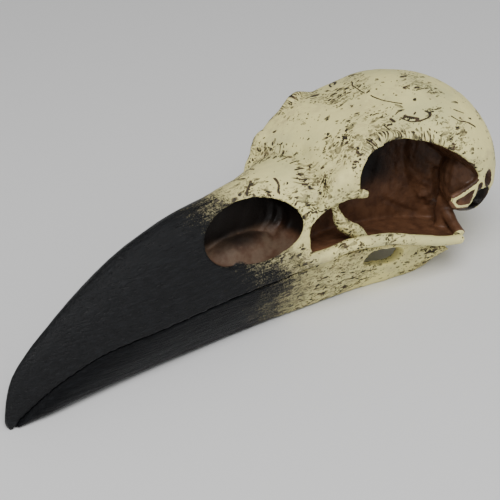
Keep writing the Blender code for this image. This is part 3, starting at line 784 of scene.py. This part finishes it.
def soften(obj, share, rounds):
    """Moves each vertex towards its neighbours' middle by its own share."""
    edges = np.empty(len(obj.data.edges) * 2, int)
    obj.data.edges.foreach_get("vertices", edges)
    a, b = edges.reshape(-1, 2).T
    points = mesh_points(obj)
    count = np.bincount(np.concatenate([a, b]), minlength=len(points))[:, None]
    for _ in range(rounds):
        total = np.zeros_like(points)
        for k in range(3):
            for end, other in ((a, b), (b, a)):
                total[:, k] += np.bincount(end, points[other, k], len(points))
        points += share[:, None] * (total / count - points)
    set_points(obj, points)


def path_gap(points, path, count=60):
    """Distance of each point from a smooth path, and the share of the path passed there."""
    line = curve_points(path, count)
    best = np.full(len(points), 1e9)
    where = np.zeros(len(points))
    for k in range(count - 1):
        a, ab = line[k], line[k + 1] - line[k]
        u = np.clip((points - a) @ ab / (ab @ ab), 0, 1)
        gap = np.linalg.norm(points - a - u[:, None] * ab, axis=1)
        nearer = gap < best
        best[nearer] = gap[nearer]
        where[nearer] = (k + u[nearer]) / (count - 1)
    return best, where


def oval_share(near, s, z, long, tall, tilt):
    """How far out a point lies in side view: 1 on the oval, less inside it."""
    turn = np.radians(tilt)
    x, y = near[:, 0] - s, near[:, 2] - z
    along = (x * np.cos(turn) + y * np.sin(turn)) / long
    over = (y * np.cos(turn) - x * np.sin(turn)) / tall
    return np.hypot(along, over)


def blade_share(near, share):
    """The inside share with the blade's pale lines, the brown between them and the ear's two hollows."""
    flat = near * (1, 0, 1)
    outer = step(BLADE_SIDE - 1.0, BLADE_SIDE, near[:, 1])
    ahead = oval_share(near, *BLADE_AT, *BLADE_REACH, 30.0)
    share = np.maximum(share, outer * step(1.08, 0.92, ahead))
    for ear in EAR_OVALS:
        share = np.maximum(share, outer * step(1.1, 0.9, oval_share(near, *ear)))
    outer = step(BLADE_SIDE + 3.5, BLADE_SIDE + 4.0, near[:, 1])
    for path, half_width in BLADE_LINES:
        gap, _ = path_gap(flat, np.array(path) * (1, 0, 1))
        share = share * (1 - outer * step(half_width + 0.3, half_width, gap))
    return share


def blob(points, at, radii):
    """1 at a place, falling smoothly to 0 away from it."""
    return np.exp(-(((points - at) / radii) ** 2).sum(1))


def hump(gap, width):
    """1 where the gap is 0, falling smoothly to 0 past the width."""
    return np.exp(-((gap / width) ** 2))


def grooved(lift, near, grooves):
    """The lift with grooves cut into it along their paths."""
    for path, width, deep in grooves:
        gap, _ = path_gap(near, path)
        lift -= deep * hump(gap, width)
    return lift


def past_crease(near):
    """How far points lie behind the V where the brow rises from the bill, in millimetres."""
    return near[:, 0] - (CREASE_APEX - CREASE_SLOPE * near[:, 1])


def uneven_skin(points, horn, coarse, fine, seed):
    """Uneven bone and a finely streaked beak; coarse and fine are each a height and a size."""
    uneven = coarse[0] * layered_noise(points, coarse[1], seed)
    uneven = uneven + fine[0] * layered_noise(points, fine[1], seed + 1)
    streaks = layered_noise(points * STREAK_STRETCH, 0.8, seed + 2)
    return uneven * (1 - 0.7 * horn) + STREAK_HEIGHT * streaks * horn


def depth_below(points, tree):
    """How far points lie under the uncut outer form, in millimetres."""
    return np.array([tree.find_nearest(Vector(p))[3] for p in points]) / MM


def crack_gap(near):
    """Distance from the nearest long crack, and how many half widths a point lies to one side of it."""
    best = np.full(len(near), FAR_AWAY)
    aside = np.full(len(near), FAR_AWAY)
    for path, half_width in CRACKS:
        corners = np.array(path)
        low, high = corners.min(0) - CRACK_MARGIN, corners.max(0) + CRACK_MARGIN
        close = np.flatnonzero(((near > low) & (near < high)).all(1))
        gap, where = path_gap(near[close], path, CRACK_POINTS)
        line = curve_points(path, CRACK_POINTS)
        index = np.minimum((where * (CRACK_POINTS - 1)).astype(int), CRACK_POINTS - 2)
        across = np.cross(line[index + 1] - line[index], OUTWARD)
        across /= np.linalg.norm(across, axis=1)[:, None]
        side = ((near[close] - line[index]) * across).sum(1) / half_width
        nearer = gap < best[close]
        best[close[nearer]] = gap[nearer]
        aside[close[nearer]] = side[nearer]
    return best, aside


def hollow_lift(points, near, inside):
    """Relief of the painted hollows: lumps, grooves and a rough rear wall."""
    lumps = sum(blob(near, at, radii) for at, radii in LUMPS)
    lift = 0.75 * lumps * (0.5 + layered_noise(points, 2.2, 3))
    lift = grooved(lift, near, HOLLOW_GROOVES)
    lift += 0.16 * layered_noise(points, 3.4, 5)
    rough = step(*ROUGH_ALONG, near[:, 0]) * step(*ROUGH_UP, near[:, 2])
    lift += 0.22 * rough * np.abs(layered_noise(points, 1.7, 7)) ** 0.8
    return lift * inside


def bone_lift(points, near, horn):
    """Relief of the painted outside: uneven bone, soft crease, leaf of the tear bone and streaked beak."""
    lift = uneven_skin(points, horn, (0.10, 6.0), (0.05, 1.5), 11)
    lift -= CREASE_DEPTH * hump(past_crease(near) + 0.5, 0.9) * step(*CREASE_FOOT, near[:, 2])
    leaf, along = path_gap(near, TEAR_STRUT)
    leaf_lift = LEAF_SWELLING * step(*LEAF_RUN, along) + 0.18 * layered_noise(points, 1.1, 17)
    lift += hump(leaf, LEAF_REACH) * leaf_lift
    return grooved(lift, near, OUTER_GROOVES)


def horn_reach(points):
    """How far points lie behind the slanting edge of the black beak, in millimetres."""
    edge = HORN_EDGE + HORN_SLOPE * (HORN_HEIGHT - points[:, 2])
    return points[:, 0] - edge


def jaw_horn_reach(points):
    """The same behind the upright edge of the black on the lower jaw."""
    return points[:, 0] - JAW_HORN_EDGE


def set_layers(obj, **layers):
    """Gives the vertices one value each under every name, for the paint to read."""
    for name, values in layers.items():
        attribute = obj.data.attributes.new(name, "FLOAT", "POINT")
        attribute.data.foreach_set("value", np.asarray(values, np.float32))


def cavity(obj):
    """Positive in hollows and negative on edges."""
    before = mesh_points(obj)
    soften(obj, np.full(len(before), 0.6), 8)
    after = mesh_points(obj)
    set_points(obj, before)
    return ((after - before) * mesh_points(obj, "normal")).sum(1) / MM


def finish_mesh(obj, triangles):
    """Thins the sculpted skin to a number of triangles and shades it smooth."""
    count = sum(len(p.vertices) - 2 for p in obj.data.polygons)
    if count > triangles:
        thin = obj.modifiers.new("thin", "DECIMATE")
        thin.ratio = triangles / count
        apply_modifiers(obj)
    obj.data.polygons.foreach_set("use_smooth", [True] * len(obj.data.polygons))
    obj.data.update()


def fine_skin(obj, cell, smoothing):
    remesh = obj.modifiers.new("skin", "REMESH")
    remesh.mode = "VOXEL"
    remesh.voxel_size = cell * MM
    ease = obj.modifiers.new("ease", "SMOOTH")
    ease.factor = 0.5
    ease.iterations = smoothing
    apply_modifiers(obj)


def build_skull(cell, triangles):
    """The whole upper skull in one skin, with attributes for its paint."""
    skull = outer_form()
    faces = [tuple(p.vertices) for p in skull.data.polygons]
    tree = BVHTree.FromPolygons([v.co for v in skull.data.vertices], faces)
    hollow(skull)
    fine_skin(skull, cell, 3)
    _, near = skull_points(skull)
    soft = hump(past_crease(near), CREASE_EASE) * step(18.0, 21.0, near[:, 2])
    soften(skull, 0.6 * soft, 22)
    brow, _ = path_gap(near, BROW)
    soften(skull, 0.45 * hump(brow, 2.5), 8)
    points, near = skull_points(skull)
    inside = hollow_share(near, depth_below(mesh_points(skull), tree))
    lift = bone_lift(points, near, step(*HORN_FADE, horn_reach(points))) * (1 - inside)
    lift += hollow_lift(points, near, inside)
    raise_skin(skull, lift)
    finish_mesh(skull, triangles)
    paint_skull(skull, tree)
    return skull


def hollow_share(near, deep):
    """1 on the painted insides of the sockets, nostrils, ears and pits, 0 on the pale outside."""
    s, t, z = near.T
    between = smooth([(p[0], p[1]) for p in CHEEK_BAR], s) - ROOM_WALL - t
    room = step(0.0, 0.4, between) * step(-0.9, -0.5, z - floor_top(s))
    room *= 1 - step(ROOM_TOP, ROOM_TOP + ROOM_EDGE, z)
    room *= step(ROOM_START, ROOM_START + ROOM_EDGE, s) * (1 - step(ROOM_END, ROOM_END + ROOM_EDGE, s))
    share = blade_share(near, np.maximum(step(*HOLLOW_EDGE, deep), room))
    for path, radius in PALE_RODS:
        gap, _ = path_gap(near, path)
        share *= step(radius, radius + 0.35, gap)
    return share * step(-1.1, -0.6, z - floor_top(s))


def paint_skull(skull, tree):
    """Lays down where each kind of paint and wear goes on the upper skull, and where painted shade darkens
    its hollows.
    """
    points, near = skull_points(skull)
    s, t, z = near.T
    inside = hollow_share(near, depth_below(mesh_points(skull), tree))
    behind = step(*SOCKET_FRONT, s)
    # Painted shade: near-black under the roofs of the sockets and nostrils and in the ear's hollow, where
    # shadow falls
    socket_gloom = step(*SOCKET_PAINTED_SHADE, z) * (1 - 0.5 * step(*PAINTED_SHADE_END, s)) * behind
    nostril_gloom = step(*NOSTRIL_PAINTED_SHADE, z) * (1 - behind)
    ear_gloom = 1.2 * blob(near, **EAR_PAINTED_SHADE)
    set_layers(skull, inside=inside, gloom=socket_gloom + nostril_gloom + ear_gloom)
    set_layers(skull, horn=horn_reach(points), cavity=cavity(skull))
    hatch = hump(past_crease(near) + 1.8, 2.0) * step(26.0, 27.5, z)
    set_layers(skull, hatch=hatch * (0.25 + 0.75 * step(1.0, 5.0, t)))
    wander = np.stack([lattice_noise(points, 1.6, k) for k in (31, 32, 33)], 1)
    crack, aside = crack_gap(near + 0.2 * wander)
    set_layers(skull, crack=crack, crack_side=aside)
    gap, along = path_gap(near, BROW)
    set_layers(skull, rim_gap=gap, rim_run=along * RIM_LENGTH)
    dirt = sum(share * blob(near, at, radii) for share, at, radii in DIRTY)
    set_layers(skull, dirt=np.clip(dirt, 0, 1))


def build_jaw(cell, triangles):
    """The lower jaw in one skin, with attributes for its paint."""
    lower = jaw()
    fine_skin(lower, cell, 2)
    points, near = skull_points(lower)
    s, t, z = near.T
    horn = step(*HORN_FADE, jaw_horn_reach(points))
    lift = uneven_skin(points, horn, (0.10, 5.0), (0.06, 1.4), 21)
    lift = grooved(lift, near, JAW_GROOVES)
    under_bill = hump(z - smooth(MOUTH, s) + GAP / 2, 0.2)
    lift += MOUTH_CLOSING * under_bill * step(0.5, 1.1, smooth(JAW_TOP_WIDTH, s) - t)
    raise_skin(lower, lift)
    finish_mesh(lower, triangles)
    points, near = skull_points(lower)
    s = points[:, 0]
    none, far = np.zeros(len(s)), np.full(len(s), FAR_AWAY)
    set_layers(lower, inside=none, hatch=none, gloom=none, rim_run=none)
    set_layers(lower, crack=far, crack_side=far, rim_gap=far)
    dirt = 0.7 * step(*JAW_DIRT_START, s) * (1 - step(*JAW_DIRT_END, s)) + 0.5 * step(*HEEL_DIRT, s)
    set_layers(lower, horn=jaw_horn_reach(points), cavity=cavity(lower), dirt=dirt)
    return lower


class Painter:
    """Adds nodes to a material's tree and joins them up."""

    def __init__(self, name):
        self.material = bpy.data.materials.new(name)
        self.material.use_nodes = True
        self.tree = self.material.node_tree
        self.shader = self.tree.nodes["Principled BSDF"]

    def finish(self, colour, roughness):
        self.join(self.shader.inputs["Base Color"], colour)
        self.join(self.shader.inputs["Roughness"], roughness)

    def put(self, kind, *inputs, settings=None, **named):
        """Makes one node; an input is a number, a colour or another node's output."""
        made = self.tree.nodes.new("ShaderNode" + kind)
        for key, value in (settings or {}).items():
            setattr(made, key, value)
        for place, value in enumerate(inputs):
            self.join(made.inputs[place], value)
        for name, value in named.items():
            self.join(made.inputs[name.replace("_", " ")], value)
        return made

    def join(self, socket, value):
        if isinstance(value, bpy.types.NodeSocket):
            self.tree.links.new(value, socket)
        elif socket.type == "RGBA":
            socket.default_value = (*value, 1.0)
        else:
            socket.default_value = value

    def maths(self, operation, *values):
        return self.put("Math", *values, settings={"operation": operation}).outputs[0]

    def times(self, a, b):
        return self.maths("MULTIPLY", a, b)

    def plus(self, a, share, b):
        """A share of a, added to b."""
        return self.maths("MULTIPLY_ADD", a, share, b)

    def most(self, a, b):
        return self.maths("MAXIMUM", a, b)

    def shaken(self, value, noise, reach):
        """A value moved up and down by a noise that runs from 0 to 1."""
        return self.plus(self.maths("SUBTRACT", noise, 0.5), reach, value)

    def vector(self, operation, a, b):
        return self.put("VectorMath", a, b, settings={"operation": operation}).outputs["Vector"]

    def scaled(self, point, by):
        return self.vector("MULTIPLY", point, by)

    def noise(self, point, scale, detail=2.0, rough=0.5, distortion=0.0):
        settings = dict(Scale=scale, Detail=detail, Roughness=rough, Distortion=distortion)
        return self.put("TexNoise", Vector=point, **settings).outputs["Fac"]

    def rise(self, value, low, high):
        """Smooth step of a value between two levels."""
        kind = {"interpolation_type": "SMOOTHSTEP"}
        return self.put("MapRange", value, low, high, settings=kind).outputs["Result"]

    def blend(self, share, a, b):
        """A mix of two numbers."""
        made = self.put("Mix")
        for socket, value in ((0, share), (2, a), (3, b)):
            self.join(made.inputs[socket], value)
        return made.outputs[0]

    def mix(self, share, a, b):
        """A mix of two colours."""
        made = self.put("Mix", settings={"data_type": "RGBA"})
        for socket, value in ((0, share), (6, a), (7, b)):
            self.join(made.inputs[socket], value)
        return made.outputs[2]

    def attribute(self, name):
        return self.put("Attribute", settings={"attribute_name": name}).outputs["Fac"]

    def flecks(self, point, size, share, edge):
        """1 on scattered flecks of about the given size in millimetres, kept by a share of their cells."""
        cells = self.put("TexVoronoi", Vector=self.scaled(point, tuple(1.0 / k for k in size)), Scale=1.0)
        chance = self.put("SeparateColor", cells.outputs["Color"]).outputs[0]
        kept = self.maths("LESS_THAN", chance, share)
        return self.times(kept, self.rise(cells.outputs["Distance"], *edge))


def bent(p, point, scale, reach):
    """A point pushed about by smooth noise, so that what is drawn with it isn't straight."""
    push = p.put("TexNoise", Vector=point, Scale=scale, Detail=2.0).outputs["Color"]
    push = p.vector("SUBTRACT", push, (0.5, 0.5, 0.5))
    return p.vector("ADD", point, p.scaled(push, (reach, reach, reach)))


def scratches(p, point, dirt):
    """Short scratches, pits and specks in the bone, thicker where the dirt is."""
    crooked = bent(p, point, 0.5, 1.6)
    gathered = p.rise(p.plus(dirt, 0.30, p.noise(point, 0.13, 2.0)), 0.48, 0.72)
    thin = p.noise(p.scaled(crooked, (0.35, 1.9, 1.9)), 1.1, 3.0, 0.65, 0.6)
    marks = p.times(p.rise(thin, 0.57, 0.63), p.rise(gathered, 0.1, 0.7))
    for size, more, least, edge in SCRATCHES:
        marks = p.most(marks, p.flecks(crooked, size, p.plus(gathered, more, least), edge))
    return marks


def hatching(p, point, place):
    """Strokes across the crease, and spokes round the upper rim of each eye socket."""
    x, y, z = (place.outputs[k] for k in "XYZ")
    slant = p.plus(x, -0.75, p.maths("ABSOLUTE", y))
    lines = bent(p, p.put("CombineXYZ", slant, x, z).outputs[0], 0.6, 0.35)
    hatch = p.attribute("hatch")
    strokes = p.flecks(lines, (0.95, 7.0, 7.0), p.rise(hatch, 0.1, 0.9), (0.38, 0.30))
    shorter = p.flecks(lines, (0.6, 3.6, 3.6), p.times(hatch, 0.7), (0.40, 0.31))
    gap, run = p.attribute("rim_gap"), p.attribute("rim_run")
    ring = bent(p, p.put("CombineXYZ", run, gap, 0.0).outputs[0], 0.9, 0.5)
    close = p.times(p.rise(gap, 3.2, 0.8), p.times(p.rise(run, 4.0, 12.0), p.rise(run, 34.0, 27.0)))
    spokes = p.flecks(ring, (0.55, 1.7, 1.0), p.times(close, 0.85), (0.52, 0.38))
    stipple = p.flecks(ring, (0.4, 0.55, 1.0), close, (0.54, 0.40))
    return p.most(p.most(strokes, shorter), p.most(spokes, stipple))


def cast_paint(name, look, shine):
    """Cream bone with dark wash, a black beak and glossy hollows with painted shade under their roofs,
    chosen by the piece's attributes.
    """
    p = Painter(name)
    point = p.scaled(p.put("TexCoord").outputs["Object"], (1 / MM, 1 / MM, 1 / MM))
    place = p.put("SeparateXYZ", point)
    inside, horn, dent, dirt = (p.attribute(k) for k in ("inside", "horn", "cavity", "dirt"))
    patch = p.noise(point, 0.22, 3.0, 0.6)
    fine = p.noise(point, 3.2, 3.0, 0.65)
    grain = p.noise(point, 7.0, 2.0, 0.6)
    streak = p.noise(p.scaled(point, (0.14, 1.5, 1.5)), 1.5, 4.0, 0.7, 0.2)

    bone = p.mix(p.rise(p.noise(point, 0.09, 3.0), 0.4, 0.7), look.bone, look.bone_shade)
    bone = p.mix(p.times(p.rise(patch, 0.52, 0.8), 0.4), bone, look.bone_stain)
    dusty = p.times(dirt, p.rise(p.noise(point, 0.8, 4.0, 0.7), 0.42, 0.66))
    bone = p.mix(p.times(dusty, 0.55), bone, look.bone_stain)

    # Scratches, hatching and the wash that pools in hollows are worn away on edges, cracks aren't
    marks = p.most(scratches(p, point, dirt), hatching(p, point, place))
    pooled = p.rise(p.shaken(dent, fine, 0.55), 0.10, 0.20)
    marks = p.most(marks, p.times(pooled, 0.9))
    worn = p.rise(p.noise(point, 0.55, 2.0), 0.35, 0.6)
    marks = p.times(marks, p.plus(worn, 0.55, 0.45))
    marks = p.times(marks, p.rise(dent, -0.45, -0.12))
    crack = p.rise(p.maths("ABSOLUTE", p.shaken(p.attribute("crack_side"), fine, 2.0)), 1.5, 0.9)
    marks = p.most(marks, p.times(crack, p.rise(p.attribute("crack"), 0.55, 0.35)))
    wash = p.mix(p.rise(p.noise(point, 1.1, 2.0), 0.35, 0.65), look.wash, look.wash_dark)
    bone = p.mix(p.times(marks, look.wash_amount), bone, wash)

    # Black beak, whose fade is broken up by streaks and specks; horn is the distance past its edge
    black = p.mix(p.rise(streak, 0.45, 0.75), look.horn, look.horn_light)
    ragged = horn
    for noise, reach in ((streak, 26.0), (patch, PATCH_REACH), (fine, 28.0), (grain, 24.0)):
        ragged = p.shaken(ragged, noise, reach)
    horn_mask = p.rise(ragged, 3.0, -3.0)
    smoke = p.rise(p.shaken(horn, patch, PATCH_REACH), 13.0, -5.0)
    smoke = p.mix(p.times(smoke, 0.9), bone, look.horn_smoke)
    colour = p.mix(p.times(horn_mask, p.rise(horn, 14.0, 4.0)), smoke, black)

    # Glossy hollows, tan in the nostrils, and painted shade near-black under the roofs
    in_nostril = p.rise(place.outputs["X"], *NOSTRIL_BORDER)
    depths = p.mix(in_nostril, look.hollow, look.nostril)
    blotch = p.times(p.rise(p.noise(point, 0.35, 3.0, 0.6), 0.35, 0.7), 0.8)
    depths = p.mix(blotch, depths, look.hollow_dark)
    rubbed = p.rise(p.noise(p.scaled(point, (0.4, 1.0, 1.8)), 1.1, 3.0, 0.6), 0.60, 0.74)
    edges = p.times(p.rise(dent, -0.04, -0.16), 0.3)
    depths = p.mix(p.most(p.times(rubbed, 0.35), edges), depths, look.hollow_light)
    # Painted shade: darkens the hollows towards near-black under their roofs
    gloom = p.rise(p.shaken(p.attribute("gloom"), patch, 0.5), 0.1, 1.0)
    depths = p.mix(gloom, depths, look.gloom)
    inside_mask = p.rise(p.shaken(inside, fine, 0.25), 0.35, 0.65)
    colour = p.mix(inside_mask, colour, depths)

    rough = p.shaken(look.bone_roughness, fine, 0.25)
    rough = p.blend(horn_mask, rough, p.shaken(look.horn_roughness, streak, 0.45))
    hollow_rough = p.plus(in_nostril, 0.22, p.shaken(look.hollow_roughness, patch, 0.3))
    rough = p.blend(inside_mask, rough, hollow_rough)

    height = p.plus(marks, -0.9, p.plus(fine, 0.35, p.times(patch, 0.6)))
    height = p.blend(horn_mask, height, p.plus(streak, 1.5, p.times(fine, 0.35)))
    height = p.blend(inside_mask, height, p.times(fine, 0.4))
    bump = p.put("Bump", Strength=look.relief, Distance=0.3 * MM, Height=height)
    p.finish(colour, rough)
    p.join(p.shader.inputs["Normal"], bump.outputs["Normal"])
    p.shader.inputs["Specular IOR Level"].default_value = shine
    return p.material


def tint(name, note, red, green, blue):
    return FloatVectorProperty(
        name=name, description=note, subtype="COLOR", size=3, min=0, max=1, default=(red, green, blue)
    )


def amount(name, note, share):
    return FloatProperty(name=name, description=note, subtype="FACTOR", min=0, max=1, default=share)


def number(name, note, low, high, value):
    return FloatProperty(name=name, description=note, min=low, max=high, default=value)


def count(name, note, value):
    return IntProperty(name=name, description=note, min=10000, max=199000, default=value)


class RAVEN_PG_look(bpy.types.PropertyGroup):
    bone: tint("Bone", "Cream paint", 0.86, 0.78, 0.34)
    bone_shade: tint("Bone shade", "Cooler cream", 0.70, 0.66, 0.31)
    bone_stain: tint("Bone stain", "Thin wash over cream", 0.40, 0.31, 0.19)
    wash: tint("Wash", "Brown in the scratches", 0.060, 0.034, 0.020)
    wash_dark: tint("Dark wash", "Darkest wash", 0.016, 0.012, 0.009)
    wash_amount: amount("Wash amount", "How strongly the wash shows", 0.98)
    horn: tint("Beak", "Black paint", 0.0042, 0.0045, 0.0052)
    horn_light: tint("Beak streaks", "Worn streaks in the black", 0.012, 0.013, 0.015)
    horn_smoke: tint("Beak fade", "Grey where black fades out", 0.13, 0.115, 0.085)
    hollow: tint("Hollow", "Red-brown paint in the hollows", 0.145, 0.067, 0.034)
    nostril: tint("Nostril", "Tan paint in the nostrils", 0.11, 0.072, 0.047)
    hollow_dark: tint("Dark hollow", "Darker paint in the hollows", 0.060, 0.026, 0.014)
    hollow_light: tint("Rubbed hollow", "Rubbed places in the hollows", 0.21, 0.115, 0.072)
    # The colour of the painted shade under the roofs of the hollows
    gloom: tint("Gloom", "Near-black paint under the roofs of the hollows", 0.006, 0.004, 0.003)
    bone_roughness: amount("Bone roughness", "Roughness of the cream paint", 0.5)
    horn_roughness: amount("Beak roughness", "Roughness of the black paint", 0.33)
    hollow_roughness: amount("Hollow roughness", "Roughness inside the hollows", 0.36)
    shine: amount("Shine", "Strength of the mirror reflection", 0.2)
    jaw_shine: amount("Jaw shine", "Strength of the mirror reflection on the lower jaw", 0.07)
    relief: amount("Relief", "Strength of the fine surface relief", 0.7)


class RAVEN_PG_shape(bpy.types.PropertyGroup):
    cell: number("Skin cell (mm)", "Edge length of the sculpted skin in millimetres", 0.2, 1.0, 0.32)
    skull_triangles: count("Skull triangles", "Triangles of the upper skull", 190000)
    jaw_triangles: count("Jaw triangles", "Triangles of the lower jaw", 80000)


class RAVEN_PG_stage(bpy.types.PropertyGroup):
    floor_size: FloatProperty(
        name="Floor", description="Width of the floor", unit="LENGTH", min=0.5, max=20, default=4.0
    )
    floor_colour: tint("Floor colour", "Colour of the floor", 0.8, 0.8, 0.8)
    key_power: number("Key light", "Power of the main light in watts", 0, 50, 3.8)
    fill_power: number("Fill light", "Power of the second light in watts", 0, 50, 0.6)
    sky: number("Sky", "Strength of the light from all round", 0, 5, 0.3)


def claim(obj, name, nodes):
    """Gives a finished piece its name and its place in the frame."""
    obj.name = name
    obj.data.name = name
    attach(obj, "root")
    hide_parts(*nodes)


def painted(context, build, name, nodes, triangles, shine):
    """Builds one skin, paints it and gives it its place in the frame."""
    cell = context.scene.raven_shape.cell * 1
    obj = build(cell, triangles // (1))
    obj.data.materials.clear()
    obj.data.materials.append(cast_paint(name + "_paint", context.scene.raven_look, shine))
    claim(obj, name + "_cast", nodes)
    return {"FINISHED"}


class RAVEN_OT_skull(bpy.types.Operator):
    """Builds the upper skull and its paint"""

    bl_idname = "raven.skull"
    bl_label = "Upper Skull"

    def execute(self, context):
        shape, look = context.scene.raven_shape, context.scene.raven_look
        return painted(context, build_skull, "skull", SKULL_NODES, shape.skull_triangles, look.shine)


class RAVEN_OT_jaw(bpy.types.Operator):
    """Builds the lower jaw and its paint"""

    bl_idname = "raven.jaw"
    bl_label = "Lower Jaw"

    def execute(self, context):
        shape, look = context.scene.raven_shape, context.scene.raven_look
        return painted(context, build_jaw, "jaw", JAW_NODES, shape.jaw_triangles, look.jaw_shine)


def area_light(name, place, power, size):
    data = bpy.data.lights.new(name, "AREA")
    data.energy = power
    data.size = size
    light = linked(name, data)
    light.location = place
    light.rotation_euler = (Vector(place) - Vector(LIGHT_AIM)).to_track_quat("Z", "Y").to_euler()


class RAVEN_OT_stage(bpy.types.Operator):
    """Builds the floor, the lights and the camera"""

    bl_idname = "raven.stage"
    bl_label = "Stage"

    def execute(self, context):
        stage = context.scene.raven_stage
        far = stage.floor_size / 2
        corners = [(-far, -far, 0), (far, -far, 0), (far, far, 0), (-far, far, 0)]
        floor = new_object("floor", corners, [(0, 1, 2, 3)])
        p = Painter("floor_paint")
        p.finish(stage.floor_colour, 0.9)
        floor.data.materials.append(p.material)
        area_light("key", KEY_PLACE, stage.key_power, 0.35)
        area_light("fill", FILL_PLACE, stage.fill_power, 0.5)
        world = bpy.data.worlds.new("soft_light")
        world.use_nodes = True
        world.node_tree.nodes["Background"].inputs["Color"].default_value = (1, 1, 1, 1)
        world.node_tree.nodes["Background"].inputs["Strength"].default_value = stage.sky
        context.scene.world = world
        photo_camera(context.scene)
        return {"FINISHED"}


def photo_camera(scene):
    """The photograph's viewpoint: 40 degrees from the side, towards the beak, and 28.5 degrees up."""
    turn, lift = math.radians(VIEW_TURN), math.radians(VIEW_LIFT)
    back = Vector((math.sin(turn) * math.cos(lift), -math.cos(turn) * math.cos(lift), math.sin(lift)))
    aim = np.array(VIEW_AIM)
    eye = aim + VIEW_DISTANCE * np.array([back.x, -back.y, back.z])
    target, place, above = (Vector(v) for v in placed([aim, eye, aim + (0, 0, 1)]))
    z = (place - target).normalized()
    x = (above - target).cross(z).normalized()
    data = bpy.data.cameras.new("photo_camera")
    data.sensor_width = 36.0
    data.lens = VIEW_LENS
    data.shift_y = VIEW_SHIFT
    data.clip_start = 0.01
    camera = linked("photo_camera", data)
    camera.matrix_world = Matrix.Translation(place) @ Matrix((x, z.cross(x), z)).transposed().to_4x4()
    scene.camera = camera


class RAVEN_PT_panel(bpy.types.Panel):
    """Lists the builders and their settings"""

    bl_idname = "RAVEN_PT_panel"
    bl_label = "Raven Skull"
    bl_space_type = "VIEW_3D"
    bl_region_type = "UI"
    bl_category = "Raven Skull"

    def draw(self, context):
        layout = self.layout
        for operator in (RAVEN_OT_skull, RAVEN_OT_jaw, RAVEN_OT_stage):
            layout.operator(operator.bl_idname)
        for group in ("raven_look", "raven_shape", "raven_stage"):
            box = layout.box()
            settings = getattr(context.scene, group)
            for name in settings.__annotations__:
                box.prop(settings, name)


CLASSES = (
    RAVEN_PG_look,
    RAVEN_PG_shape,
    RAVEN_PG_stage,
    RAVEN_OT_skull,
    RAVEN_OT_jaw,
    RAVEN_OT_stage,
    RAVEN_PT_panel,
)


def register():
    for cls in CLASSES:
        bpy.utils.register_class(cls)
    bpy.types.Scene.raven_look = PointerProperty(type=RAVEN_PG_look)
    bpy.types.Scene.raven_shape = PointerProperty(type=RAVEN_PG_shape)
    bpy.types.Scene.raven_stage = PointerProperty(type=RAVEN_PG_stage)


def unregister():
    for name in ("raven_look", "raven_shape", "raven_stage"):
        delattr(bpy.types.Scene, name)
    for cls in reversed(CLASSES):
        bpy.utils.unregister_class(cls)


def main():
    register()
    bpy.ops.raven.skull()
    bpy.ops.raven.jaw()
    bpy.ops.raven.stage()


if __name__ == "__main__":
    main()
